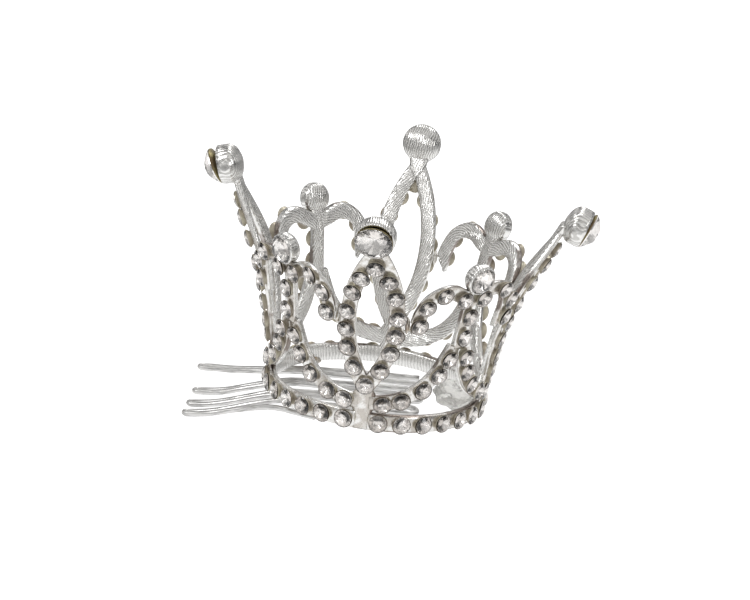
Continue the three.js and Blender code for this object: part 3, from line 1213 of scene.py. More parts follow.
class StoneRows:
    """Repeats a stone and its seat over given places with Geometry Nodes."""

    SEED = 7
    LEAN = 0.09  # the most a stone leans, in radians

    def __init__(self, palette: Palette, stone: Chaton, seat: Seat, lift: float) -> None:
        """Makes the prototypes and the tree.

        Args:
            palette: The finishes.
            stone: The stone that is repeated.
            seat: The cup under each stone.
            lift: Height of the girdle over the wall.
        """
        self.palette = palette
        self.lift = lift
        self.stone = stone.prototype("stone_prototype")
        self.seat = seat.prototype("seat_prototype")
        self.tree = self._tree()

    def _tree(self) -> bpy.types.NodeTree:
        """The Geometry Nodes tree: points with a facing and an along become set stones.

        Returns:
            The group.
        """
        tree = bpy.data.node_groups.new("Set stones", "GeometryNodeTree")
        face = tree.interface
        face.new_socket("Places", in_out="INPUT", socket_type="NodeSocketGeometry")
        thing, whole = "NodeSocketObject", "NodeSocketInt"
        kinds = {"Stone": thing, "Setting": thing, "Lift": NUMBER, "Lean": NUMBER, "Seed": whole}
        for label, kind in kinds.items():
            face.new_socket(label, in_out="INPUT", socket_type=kind)
        face.new_socket("Stones", in_out="OUTPUT", socket_type="NodeSocketGeometry")
        nodes = Nodes(tree)
        given, result = nodes.add("NodeGroupInput"), nodes.add("NodeGroupOutput")
        aim = nodes.add("FunctionNodeAxesToRotation", primary_axis="Z", secondary_axis="X")
        for name, target in (("facing", 0), ("along", 1)):
            read = nodes.add("GeometryNodeInputNamedAttribute", data_type="FLOAT_VECTOR")
            read.inputs["Name"].default_value = name
            nodes.join(read.outputs["Attribute"], aim.inputs[target])
        turn = self._random_turn(nodes, given)
        turned = nodes.add("FunctionNodeRotateRotation", rotation_space="LOCAL")
        nodes.join(aim.outputs[0], turned.inputs[0])
        nodes.join(turn, turned.inputs[1])
        rows = nodes.add("GeometryNodeJoinGeometry")
        seats = self._instances(nodes, given, "Setting", aim.outputs[0], None)
        stones = self._instances(nodes, given, "Stone", turned.outputs[0], given.outputs["Lift"])
        for placed in (seats, stones):
            nodes.join(placed, rows.inputs[0])
        nodes.join(rows.outputs[0], result.inputs[0])
        return tree

    @staticmethod
    def _random_turn(nodes: Nodes, given: bpy.types.Node) -> bpy.types.NodeSocket:
        """A random small lean and a random turn about the stone's own axis.

        Args:
            nodes: Where the nodes are added.
            given: The group's input node.

        Returns:
            The rotation, different on each point.
        """
        spin = nodes.add("FunctionNodeRandomValue", data_type="FLOAT")
        spin.inputs[3].default_value = 2 * math.pi
        nodes.join(given.outputs["Seed"], spin.inputs["Seed"])
        both = nodes.add("ShaderNodeCombineXYZ")
        for place in (0, 1):
            lean = nodes.add("FunctionNodeRandomValue", data_type="FLOAT")
            nodes.join(nodes.times(given.outputs["Lean"], -1.0), lean.inputs[2])
            nodes.join(given.outputs["Lean"], lean.inputs[3])
            nodes.join(nodes.plus(given.outputs["Seed"], float(place + 1)), lean.inputs["Seed"])
            nodes.join(lean.outputs[1], both.inputs[place])
        nodes.join(spin.outputs[1], both.inputs[2])
        made = nodes.add("FunctionNodeEulerToRotation")
        nodes.join(both.outputs[0], made.inputs[0])
        return made.outputs[0]

    def _instances(
        self,
        nodes: Nodes,
        given: bpy.types.Node,
        label: str,
        rotation: bpy.types.NodeSocket,
        lift: bpy.types.NodeSocket | None,
    ) -> bpy.types.NodeSocket:
        """One prototype on every point, realized and with its two materials set.

        Args:
            nodes: Where the nodes are added.
            given: The group's input node.
            label: Stone or Setting, the input that holds the prototype.
            rotation: How each is turned.
            lift: How far each is raised along its own Z, if at all.

        Returns:
            The geometry.
        """
        source = nodes.add("GeometryNodeObjectInfo")
        nodes.join(given.outputs[label], source.inputs["Object"])
        spread = nodes.add("GeometryNodeInstanceOnPoints")
        nodes.join(given.outputs["Places"], spread.inputs["Points"])
        nodes.join(source.outputs["Geometry"], spread.inputs["Instance"])
        nodes.join(rotation, spread.inputs["Rotation"])
        moved = spread.outputs[0]
        if lift is not None:
            shift = nodes.add("ShaderNodeCombineXYZ")
            nodes.join(lift, shift.inputs[2])
            raised = nodes.add("GeometryNodeTranslateInstances")
            nodes.join(moved, raised.inputs["Instances"])
            nodes.join(shift.outputs[0], raised.inputs["Translation"])
            moved = raised.outputs[0]
        tone = nodes.add("FunctionNodeRandomValue", data_type="FLOAT")
        nodes.join(given.outputs["Seed"], tone.inputs["Seed"])
        store = nodes.add("GeometryNodeStoreNamedAttribute", data_type="FLOAT", domain="INSTANCE")
        store.inputs["Name"].default_value = TONE
        nodes.join(moved, store.inputs["Geometry"])
        nodes.join(tone.outputs[1], store.inputs["Value"])
        real = nodes.add("GeometryNodeRealizeInstances")
        nodes.join(store.outputs[0], real.inputs[0])
        pair = {
            "Stone": (self.palette.glass, self.palette.foil),
            "Setting": (self.palette.seat, self.palette.gap),
        }[label]
        plain = nodes.add("GeometryNodeSetMaterial")
        plain.inputs["Material"].default_value = pair[0]
        nodes.join(real.outputs[0], plain.inputs[0])
        marked = nodes.add("GeometryNodeInputNamedAttribute", data_type="BOOLEAN")
        marked.inputs["Name"].default_value = FOIL
        second = nodes.add("GeometryNodeSetMaterial")
        second.inputs["Material"].default_value = pair[1]
        nodes.join(plain.outputs[0], second.inputs[0])
        nodes.join(marked.outputs["Attribute"], second.inputs["Selection"])
        return second.outputs[0]

    def row(self, name: str, places: Sequence[Placing]) -> bpy.types.Object:
        """Sets stones at the places.

        Args:
            name: The finished object's name.
            places: Where each stone sits.

        Returns:
            A plain mesh object of the stones and their seats.
        """
        mesh = bpy.data.meshes.new(name + "_places")
        mesh.from_pydata([p.spot * MM for p in places], [], [])
        for label in ("facing", "along"):
            values = np.array([getattr(p, label) for p in places], np.float32)
            mesh.attributes.new(label, "FLOAT_VECTOR", "POINT").data.foreach_set("vector", values.ravel())
        carrier = link(name + "_places", mesh)
        modifier = carrier.modifiers.new("Set stones", "NODES")
        modifier.node_group = self.tree
        seed = self.SEED + sum(ord(letter) for letter in name)
        wanted = {
            "Stone": self.stone,
            "Setting": self.seat,
            "Lift": self.lift * MM,
            "Lean": self.LEAN,
            "Seed": seed,
        }
        for item in self.tree.interface.items_tree:
            if item.item_type == "SOCKET" and item.in_out == "INPUT" and item.name in wanted:
                modifier[item.identifier] = wanted[item.name]
        carrier.update_tag()
        bpy.context.view_layer.update()
        graph = bpy.context.evaluated_depsgraph_get()
        made = bpy.data.meshes.new_from_object(carrier.evaluated_get(graph))
        made.name = name
        carrier.modifiers.clear()
        bpy.data.objects.remove(carrier)
        return link(name, made)

    def clear(self) -> None:
        """Removes the prototypes, once every row is made."""
        for source in (self.stone, self.seat):
            bpy.data.objects.remove(source)


def on_wall(middle: float, places: Sequence[Flat]) -> list[Placing]:
    """Stone places along a line of the sheet.

    Args:
        middle: Angle of the sheet's middle line, in degrees.
        places: The stones' places on the sheet.

    Returns:
        A placing for each.
    """
    made = []
    for i, (across, height) in enumerate(places):
        before, after = places[max(i - 1, 0)], places[min(i + 1, len(places) - 1)]
        along = WALL.point(middle, *after, 0) - WALL.point(middle, *before, 0)
        spot, facing = WALL.point(middle, across, height, 0.0), WALL.facing(middle, across, height)
        made.append(Placing(spot, facing, along.normalized()))
    return made


# ---- Sub-assemblies ----


def place_piece(piece: bpy.types.Object, node: str, slot: Slot) -> None:
    """Makes a piece stand for a CAD node and reports it.

    Args:
        piece: The finished object.
        node: The CAD node it replaces.
        slot: Its material slot in the record; not used.
    """
    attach(piece, ROOT)
    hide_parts(node)
    log.info("%s: %d faces for %s", piece.name, len(piece.data.polygons), node)


@dataclass(frozen=True)
class Tip:
    """A tall point's cup and gem, which are bent a little differently on each point."""

    out: float
    height: float
    gem_tilt: float
    lean: float = 0.0


TIPS = {
    Side.FRONT: Tip(28.6, 36.1, 27, lean=-0.9),
    Side.RIGHT: Tip(29.4, 34.7, 23),
    Side.BACK: Tip(28.7, 36.8, 25),
    Side.LEFT: Tip(28.6, 36.0, 31),
}


@dataclass(frozen=True)
class Cup:
    """A cast cup for a gem: a rounded back, a rim and a hollow."""

    radius: float
    back: float
    rim: float
    tilt: float
    wall: float = 0.5

    def profile(self) -> list[Flat]:
        """(radius, along) from the back's middle round the rim into the hollow.

        Returns:
            The points in order.
        """
        outer = [
            (self.radius * math.sin(a), -self.back * math.cos(a))
            for a in (math.pi / 2 * i / 9 for i in range(10))
        ]
        return [
            (0.02, -self.back),
            *outer[1:],
            (0.995 * self.radius, 0.6 * self.rim),
            (0.97 * self.radius, self.rim - 0.08),
            (0.97 * self.radius - 0.12, self.rim),
            (0.97 * self.radius - self.wall, self.rim - 0.06),
            (0.9 * self.radius - self.wall, 0.2 * self.rim),
            (0.02, -0.2 * self.back),
        ]


@dataclass(frozen=True)
class GemCut:
    """A large stone: its cut, and how it rests in its cup."""

    cut: Chaton
    clearance: float = 0.05

    def axis(self, middle: float, cup: Cup, out: float, height: float, tilt: float) -> Axis:
        """Where the gem sits: its lowest edge on the cup's rim and the rest hinged outwards.

        Args:
            middle: Angle of the point, in degrees.
            cup: The cup it rests in.
            out: Radius of the cup's middle.
            height: Height of the cup's middle.
            tilt: The gem's own tilt.

        Returns:
            The gem's axis.
        """
        lean, own = math.radians(cup.tilt), math.radians(tilt)
        lift = cup.rim + self.cut.girdle / 2 + self.clearance
        foot_out = out + math.cos(lean) * lift - math.sin(lean) * self.cut.radius
        foot_height = height - math.sin(lean) * lift - math.cos(lean) * self.cut.radius
        radius = self.cut.radius
        return Axis(middle, foot_out + radius * math.sin(own), foot_height + radius * math.cos(own), tilt)


class Gem:
    """A large or middle-sized stone with the lacquered back of its foil."""

    def __init__(self, palette: Palette, cut: Chaton) -> None:
        """Takes the finishes and the cut."""
        self.palette = palette
        self.cut = cut

    def build(self, name: str, axis: Axis) -> bpy.types.Object:
        """The stone's object: faceted glass, its foil, and lacquer behind that.

        Args:
            name: The object's name.
            axis: Where it sits.

        Returns:
            The object.
        """
        maker = MeshMaker()
        place = axis.matrix()
        points, faces, foiled = self.cut.shape()
        turned = [place @ p for p in points]
        lays = [(p.x, p.y, p.z) for p in points]
        for slot in (False, True):
            chosen = [f for f, foil in zip(faces, foiled) if foil == slot]
            used = sorted({i for f in chosen for i in f})
            index = {old: new for new, old in enumerate(used)}
            own = [[index[i] for i in f] for f in chosen]
            maker.add([turned[i] for i in used], [lays[i] for i in used], own, int(slot), flat=True)
        radius, deep = self.cut.radius, self.cut.pavilion
        shell = [
            (0.02, -deep - 0.16),
            (0.5 * radius, -0.5 * deep - 0.2),
            (radius - 0.02, -self.cut.girdle - 0.1),
            (radius + 0.03, -self.cut.girdle / 2 + 0.02),
            (radius + 0.005, -self.cut.girdle / 2 + 0.02),
            (radius - 0.06, -self.cut.girdle - 0.04),
            (0.5 * radius, -0.5 * deep - 0.12),
            (0.02, -deep - 0.06),
        ]
        axis.lathe(maker, shell, 32, slot=2)
        made = maker.build(name, [self.palette.glass, self.palette.foil, self.palette.lacquer])
        merge_doubles(made)
        return made


def merge_doubles(target: bpy.types.Object, distance: float = 2e-7) -> None:
    """Joins vertices that lie on each other.

    Args:
        target: The object to mend.
        distance: How near they must be, in metres.
    """
    shape = bmesh.new()
    shape.from_mesh(target.data)
    bmesh.ops.remove_doubles(shape, verts=shape.verts, dist=distance)
    shape.to_mesh(target.data)
    shape.free()


class WallPart:
    """What lies on the wall round one middle line."""

    def __init__(self, spot: Side | Corner, palette: Palette, rows: StoneRows) -> None:
        """Takes its place, the finishes and the rows of stones.

        Args:
            spot: Where its middle line stands.
            palette: The finishes.
            rows: What sets its stones.
        """
        self.palette = palette
        self.rows = rows
        self.middle = float(spot.value)
        self.label = spot.name.lower()


@dataclass(frozen=True)
class TallSizes:
    """A tall point's sizes."""

    low: float = 7.2
    high: float = 33.3
    fullest: float = 20.0
    half_width: float = 3.95
    below: float = 2.2
    above: float = 2.0
    cup: Cup = Cup(radius=3.3, back=2.1, rim=1.8, tilt=19)
    gem: GemCut = GemCut(Chaton(radius=3.05, crown=1.55, pavilion=1.35, table=0.42, girdle=0.22))
    stones: tuple[Flat, ...] = ((2.1, 11), (3.4, 14.4), (3.87, 17.7), (3.98, 21.1), (3.3, 24.9), (2.09, 27.9))
    low_stone: Flat = (0, 8.0)
    high_stone: Flat = (0, 30.2)

    def leg(self, side: int) -> list[Flat]:
        """The centre line of one leg, from the foot up.

        Args:
            side: -1 for the left leg, 1 for the right.

        Returns:
            The line's points on the sheet.
        """
        line = []
        for i in range(13):
            height = self.low + (self.high - self.low) * i / 12
            above = height > self.fullest
            share = (height - self.fullest) / ((self.high if above else self.low) - self.fullest)
            bow = 1 - share ** (self.above if above else self.below)
            line.append((side * self.half_width * bow, height))
        return line


class TallPoint(WallPart):
    """A tall point: looped legs on a foot, a neck and a cup, with its stones and gem."""

    def __init__(self, side: Side, palette: Palette, rows: StoneRows, sizes: TallSizes = TallSizes()) -> None:
        """Takes its place and what it is made with.

        Args:
            side: Where it stands.
            palette: The finishes.
            rows: What sets its stones.
            sizes: Its sizes.
        """
        super().__init__(side, palette, rows)
        self.tip = TIPS[side]
        self.sizes = sizes

    def metal(self) -> bpy.types.Object:
        """The casting.

        Returns:
            The object, at the origin.
        """
        sizes, tip = self.sizes, self.tip
        maker = MeshMaker()
        for side in (-1, 1):
            strip = Strip(sizes.leg(side), shift=-0.02 * side, steps=56, taper=self.leg_taper)
            strip.lay_on(maker, self.middle)
        foot = [(0, 0.05), (0, 3), (0, 6.2), (0, 9.4)]
        Strip(foot, width=2.5, steps=16, shift=-0.04, taper=self.foot_taper).lay_on(maker, self.middle)
        neck = [(0, 31.6), (0, 32.8), (0, 34.6)]
        section = Section(1.4, 0.22, 0.4)
        strip = Strip(neck, width=3.2, steps=20, shift=0.06, taper=self.neck_taper, section=section)
        strip.lay_on(maker, self.middle)
        cup = Axis(self.middle + tip.lean, tip.out, tip.height, sizes.cup.tilt)
        cup.lathe(maker, sizes.cup.profile(), 48, slot=1, wobble=0.08)
        return maker.build(f"tall_casting_{self.label}", [self.palette.silver, self.palette.cup_silver])

    @staticmethod
    def leg_taper(share: float) -> float:
        """A leg's width, which narrows a little at the top."""
        return 1 - 0.12 * smoothstep(share, 0.7, 1)

    @staticmethod
    def neck_taper(share: float) -> float:
        """The neck's width: narrow where the legs meet, then full."""
        return 0.5 + 0.36 * smoothstep(share, 0, 0.4) + 0.16 * smoothstep(share, 0.5, 1)

    @staticmethod
    def foot_taper(share: float) -> float:
        """The foot's width: full at the band, a web where the legs spring, then narrow."""
        return 1.0 + 0.95 * math.exp(-(((share - 0.52) / 0.17) ** 2)) - 0.35 * smoothstep(share, 0.7, 1)

    def stones(self) -> bpy.types.Object:
        """The row round the loop.

        Returns:
            The object, at the origin.
        """
        sizes = self.sizes
        line = [sizes.low_stone, *mirrored(sizes.stones), sizes.high_stone, *reversed(sizes.stones)]
        return self.rows.row(f"tall_row_{self.label}", on_wall(self.middle, line))

    def gem(self) -> bpy.types.Object:
        """The large stone.

        Returns:
            The object, at the origin.
        """
        sizes, tip = self.sizes, self.tip
        axis = sizes.gem.axis(self.middle + tip.lean, sizes.cup, tip.out, tip.height, tip.gem_tilt)
        return Gem(self.palette, sizes.gem.cut).build(f"tall_stone_{self.label}", axis)

    def build(self) -> None:
        """Makes the three pieces."""
        place_piece(self.metal(), f"tall_point_{self.label}", Slot.SILVER)
        place_piece(self.stones(), f"tall_stones_{self.label}", Slot.SMALL_CRYSTAL)
        place_piece(self.gem(), f"tall_gem_{self.label}", Slot.LARGE_CRYSTAL)


SHORT_LEG_STONES = ((1.7, 13.4), (2.9, 10.5), (5.05, 7.8), (8.2, 5.8), (11.1, 4.95))


@dataclass(frozen=True)
class ShortSizes:
    """A short point's sizes."""

    leg: tuple[Flat, ...] = ((0.9, 15.6), *SHORT_LEG_STONES, (13.3, 4.75))
    curl: tuple[Flat, ...] = (
        (0.6, 24.2), (2.3, 24.7), (4.4, 25.5), (6.6, 25.4), (8.4, 24.1), (9.05, 22), (9.1, 20.4), (9.0, 18.9),
    )
    curl_stones: tuple[Flat, ...] = ((6.5, 25.4), (8.85, 23.2), (9, 19.8))
    pair: Flat = (2.1, 24.2)
    stem_stones: tuple[Flat, ...] = ((0, 21), (0, 17.3))
    leg_stones: tuple[Flat, ...] = SHORT_LEG_STONES
    cup: Cup = Cup(radius=2.6, back=1.6, rim=1.2, tilt=14)
    cup_out: float = 22.1
    cup_height: float = 27.9
    gem: GemCut = GemCut(Chaton(radius=2.35, crown=1.2, pavilion=0.9, table=0.45, girdle=0.16), -0.1)
    hook_from: float = 0.9
    hook_point: float = 0.92
    hook_skew: float = 1.2


class ShortPoint(WallPart):
    """A short point: a stem on two legs, two curls and a cup, with its stones, gem and solder."""

    def __init__(
        self, corner: Corner, palette: Palette, rows: StoneRows, sizes: ShortSizes = ShortSizes()
    ) -> None:
        """Takes its place and what it is made with.

        Args:
            corner: Where it stands.
            palette: The finishes.
            rows: What sets its stones.
            sizes: Its sizes.
        """
        super().__init__(corner, palette, rows)
        self.sizes = sizes

    def hook(self, share: float) -> float:
        """Share of the curl's width, which narrows to a point."""
        return 1 - (1 - self.sizes.hook_point) * smoothstep(share, self.sizes.hook_from, 1)

    def metal(self) -> bpy.types.Object:
        """The casting.

        Returns:
            The object, at the origin.
        """
        sizes = self.sizes
        maker = MeshMaker()
        Strip([(0, 26.6), (0, 20), (0, 15.0)], steps=24).lay_on(maker, self.middle)
        for turn, line in ((1, list(sizes.leg)), (-1, mirrored(sizes.leg))):
            Strip(line, steps=48, shift=-0.03 - 0.01 * turn).lay_on(maker, self.middle)
        for turn, line in ((1, list(sizes.curl)), (-1, mirrored(sizes.curl))):
            skew = turn * sizes.hook_skew
            strip = Strip(line, steps=56, shift=-0.015 - 0.01 * turn, taper=self.hook, skew=skew)
            strip.lay_on(maker, self.middle)
        cup = Axis(self.middle, sizes.cup_out, sizes.cup_height, sizes.cup.tilt)
        cup.lathe(maker, sizes.cup.profile(), 40, slot=1, wobble=0.06)
        return maker.build(f"short_casting_{self.label}", [self.palette.silver, self.palette.cup_silver])

    def stones(self) -> bpy.types.Object:
        """The rows on the curls, stem and legs.

        Returns:
            The object, at the origin.
        """
        sizes = self.sizes
        arm = [sizes.pair, *sizes.curl_stones]
        places = [*on_wall(self.middle, arm), *on_wall(self.middle, mirrored(arm))]
        places += on_wall(self.middle, list(sizes.stem_stones))
        places += on_wall(self.middle, list(sizes.leg_stones))
        places += on_wall(self.middle, mirrored(sizes.leg_stones))
        return self.rows.row(f"short_row_{self.label}", places)

    def gem(self) -> bpy.types.Object:
        """The middle-sized stone.

        Returns:
            The object, at the origin.
        """
        sizes = self.sizes
        axis = sizes.gem.axis(self.middle, sizes.cup, sizes.cup_out, sizes.cup_height, sizes.cup.tilt)
        return Gem(self.palette, sizes.gem.cut).build(f"short_stone_{self.label}", axis)

    def solder(self, side: int) -> bpy.types.Object:
        """The solder between one curl and the tall leg beside it.

        Args:
            side: -1 for the left curl, 1 for the right.

        Returns:
            The object, at the origin.
        """
        spot = WALL.point(self.middle, side * 10.6, 19.4, -0.6)
        lump = Lump(spot, Vector((0.42, 0.5, 1.35)), seed=self.middle + side)
        return lump.build(f"curl_joint_{self.label}_{'b' if side > 0 else 'a'}", self.palette.solder)

    def build(self) -> None:
        """Makes the five pieces."""
        place_piece(self.metal(), f"short_point_{self.label}", Slot.SILVER)
        place_piece(self.stones(), f"short_stones_{self.label}", Slot.SMALL_CRYSTAL)
        place_piece(self.gem(), f"short_gem_{self.label}", Slot.LARGE_CRYSTAL)
        for side, letter in ((-1, "a"), (1, "b")):
            place_piece(self.solder(side), f"curl_solder_{self.label}_{letter}", Slot.SOLDER)


@dataclass(frozen=True)
class BandSizes:
    """A quarter of the band."""

    height: float = 3.0
    half_span: float = 41.6
    stone_height: float = 1.55
    stone_step: float = 12.0
    stones: int = 7


class BandQuarter(WallPart):
    """A quarter of the ring's band with its stones."""

    def __init__(
        self, corner: Corner, palette: Palette, rows: StoneRows, sizes: BandSizes = BandSizes()
    ) -> None:
        """Takes its place and what it is made with.

        Args:
            corner: Where it stands.
            palette: The finishes.
            rows: What sets its stones.
            sizes: Its sizes.
        """
        super().__init__(corner, palette, rows)
        self.sizes = sizes

    def metal(self) -> bpy.types.Object:
        """The plain strip.

        Returns:
            The object, at the origin.
        """
        sizes = self.sizes
        reach = math.radians(sizes.half_span) * WALL.ring_radius
        line = [(-reach, sizes.height / 2), (0, sizes.height / 2), (reach, sizes.height / 2)]
        maker = MeshMaker()
        section = Section(1.15, 0.05, 0.12)
        Strip(line, width=sizes.height, steps=64, section=section).lay_on(maker, self.middle)
        return maker.build(f"band_strip_{self.label}", [self.palette.band_silver])

    def stones(self) -> bpy.types.Object:
        """The row round it.

        Returns:
            The object, at the origin.
        """
        sizes = self.sizes
        places = []
        for i in range(sizes.stones):
            angle = math.radians((i - (sizes.stones - 1) / 2) * sizes.stone_step)
            places.append((angle * WALL.sheet_radius(sizes.stone_height), sizes.stone_height))
        return self.rows.row(f"band_row_{self.label}", on_wall(self.middle, places))

    def build(self) -> None:
        """Makes the two pieces."""
        place_piece(self.metal(), f"band_{self.label}", Slot.SILVER)
        place_piece(self.stones(), f"band_stones_{self.label}", Slot.SMALL_CRYSTAL)


@dataclass(frozen=True)
class Lump:
    """A small uneven lump of solder or adhesive."""

    spot: Vector
    size: Vector
    seed: float = 0.0
    rough: float = 0.16
    turn: float = 0.0
    rings: int = 20
    sides: int = 28

    def build(self, name: str, material: bpy.types.Material) -> bpy.types.Object:
        """Makes the lump's object.

        Args:
            name: The object's name.
            material: Its one material.

        Returns:
            The object, at the origin.
        """
        maker = MeshMaker()
        spin = Matrix.Rotation(math.radians(self.turn), 3, "Z")
        rings, lays = [], []
        for i in range(self.rings + 1):
            polar = math.pi * (0.02 + 0.96 * i / self.rings)
            ring = []
            for j in range(self.sides):
                angle = 2 * math.pi * j / self.sides
                way = round_z(math.sin(polar), angle, -math.cos(polar))
                grown = 1 + self.rough * noise.noise(way * 1.7 + Vector((self.seed, 0, 0)))
                ring.append(self.spot + spin @ Vector(s * w * grown for s, w in zip(self.size, way)))
            rings.append(ring)
            lays.append([(p.x, p.y, p.z) for p in ring])
        maker.rings(rings, lays)
        return maker.build(name, [material])


# ---- The comb ----


@dataclass(frozen=True)
class Tooth:
    """Where one tooth ends: the Y of its tip, how far it droops and how much shorter it is."""

    across: float
    droop: float
    short: float


@dataclass(frozen=True)
class CombSizes:
    """The comb's sizes."""

    wire: float = 0.95
    sides: int = 12
    spacing: float = 3.1
    first: float = -10.6
    front_end: float = -8.0
    front_aim: float = -18.1
    spine: float = 6.4
    tip_spacing: float = 1.16
    end: float = -30.6
    step: float = 1.4
    turn_steps: int = 12
    teeth: tuple[Tooth, ...] = (
        Tooth(-7.3, 0.6, 0.7), Tooth(-2.7, 0.5, 0.6), Tooth(3.1, 0.2, 0.5), Tooth(9.6, -2, 0),
    )
    profile: tuple[Flat, ...] = (
        (8.5, 0.5), (-2, -0.2), (-11, -0.85), (-15.5, -1.35), (-20, -2.7), (-26, -4.6), (-30.6, -5.35),
    )


class Comb:
    """The comb: one wire bent to and fro into four teeth."""

    def __init__(self, palette: Palette, sizes: CombSizes = CombSizes()) -> None:
        """Takes its sizes and works out its side view.

        Args:
            palette: The finishes.
            sizes: Its sizes.
        """
        self.palette = palette
        self.sizes = sizes
        self.side_view = smooth_line([(x, z) for x, z in sizes.profile], 200)

    def height(self, x: float) -> float:
        """Height of the wire's middle at a distance along the comb.

        Args:
            x: Distance along the comb.

        Returns:
            The height in millimetres.
        """
        for a, b in zip(self.side_view, self.side_view[1:]):
            if b.x <= x <= a.x:
                return a.y + (b.y - a.y) * (x - a.x) / (b.x - a.x)
        return self.side_view[-1].y

    def place(self, tooth: int, side: int, x: float) -> Vector:
        """Middle of one of a tooth's two wires.

        Args:
            tooth: Which tooth, from the front.
            side: -1 for its front wire, 1 for its back one.
            x: Distance along the comb.

        Returns:
            The point in millimetres.
        """
        sizes, shape = self.sizes, self.sizes.teeth[tooth]
        first = tooth == 0 and side < 0
        spine = sizes.front_aim if first else sizes.first + (2 * tooth + (side + 1) / 2) * sizes.spacing
        tip = shape.across + side * sizes.tip_spacing / 2
        share = smoothstep(-x, -sizes.spine, -sizes.end - 4)
        droop = shape.droop * smoothstep(-x, 14, -sizes.end)
        kink = 0.1 * noise.noise(Vector((x * 0.16, tooth * 7.3, side * 3.1)))
        return Vector((x, spine + (tip - spine) * share + kink, self.height(x) - droop + 0.5 * kink))

    def run(self, tooth: int, side: int, start: float, stop: float) -> list[Vector]:
        """A straight run of wire from one distance along the comb to another."""
        count = max(2, round(abs(stop - start) / self.sizes.step))
        return [self.place(tooth, side, start + (stop - start) * i / count) for i in range(count + 1)]

    def bend(self, start: Vector, stop: Vector, reach: float) -> list[Vector]:
        """A half turn between two runs, without its ends.

        Args:
            start: Where the turn begins.
            stop: Where it ends.
            reach: How far it bulges along the comb.

        Returns:
            The points in order.
        """
        points = []
        for i in range(1, self.sizes.turn_steps):
            angle = math.pi * i / self.sizes.turn_steps
            point = start.lerp(stop, (1 - math.cos(angle)) / 2)
            point.x += reach * math.sin(angle)
            points.append(point)
        return points

    def route(self) -> list[Vector]:
        """The whole wire's middle line.

        Returns:
            The line's points in order.
        """
        sizes, points = self.sizes, []
        for i, shape in enumerate(sizes.teeth):
            tip = sizes.end + shape.short
            out = self.run(i, -1, sizes.spine if i else sizes.front_end, tip)
            back = self.run(i, 1, tip, sizes.spine)
            points += [*out, *self.bend(out[-1], back[0], -sizes.tip_spacing / 2), *back]
            if i < len(sizes.teeth) - 1:
                start = self.place(i + 1, -1, sizes.spine)
                points += self.bend(back[-1], start, sizes.spacing / 2)
        return points

    def build(self) -> None:
        """Makes the wire."""
        sizes, nodes = self.sizes, self.route()
        rings, lays, along = [], [], 0.0
        way = (nodes[1] - nodes[0]).normalized()
        up = way.orthogonal().normalized()
        for i, node in enumerate(nodes):
            before, after = nodes[max(i - 1, 0)], nodes[min(i + 1, len(nodes) - 1)]
            turned = (after - before).normalized()
            up = (way.rotation_difference(turned) @ up).normalized()
            way = turned
            side = way.cross(up)
            along += (node - before).length if i else 0.0
            ring, marks = [], []
            for j in range(sizes.sides):
                angle = 2 * math.pi * j / sizes.sides
                ring.append(node + (up * math.cos(angle) + side * math.sin(angle)) * sizes.wire / 2)
                marks.append((math.cos(angle) * sizes.wire / 2, along, math.sin(angle) * sizes.wire / 2))
            rings.append(ring)
            lays.append(marks)
        maker = MeshMaker()
        maker.rings(rings, lays)
        place_piece(maker.build("comb", [self.palette.wire]), "comb_wire", Slot.COMB_WIRE)


class RingJoints:
    """The solder and the adhesive inside the ring."""

    def __init__(self, palette: Palette) -> None:
        """Takes the finishes."""
        self.palette = palette

    def spot(self, angle: float, out: float, height: float) -> Vector:
        """A point against the ring's inner face."""
        turn, radius = math.radians(angle), WALL.ring_radius - WALL.metal + out
        return Vector((radius * math.sin(turn), -radius * math.cos(turn), height))

    def build(self) -> None:
        """Makes the three lumps."""
        for end, angle in (("front", -27), ("back", -131)):
            lump = Lump(self.spot(angle, -0.8, 0.62), Vector((1.7, 0.85, 0.66)), seed=angle, turn=angle)
            joint = lump.build(f"comb_joint_{end}", self.palette.solder)
            place_piece(joint, f"comb_solder_{end}", Slot.SOLDER)
        bead = Lump(self.spot(94, -3.15, 1.95), Vector((2.7, 3.6, 2.4)), seed=4.2, rough=0.3, turn=94)
        place_piece(bead.build("clear_bead", self.palette.adhesive), "adhesive_bead", Slot.ADHESIVE)


# ---- The studio ----


@dataclass(frozen=True)
class Shot:
    """The camera's place, in degrees and millimetres."""

    azimuth: float = 5.141
    elevation: float = 17.596
    roll: float = 7.57
    distance: float = 538.07
    aim_across: float = -1.884
    aim_up: float = 4.338
    aim_height: float = 12.0
    lens: float = 154.88


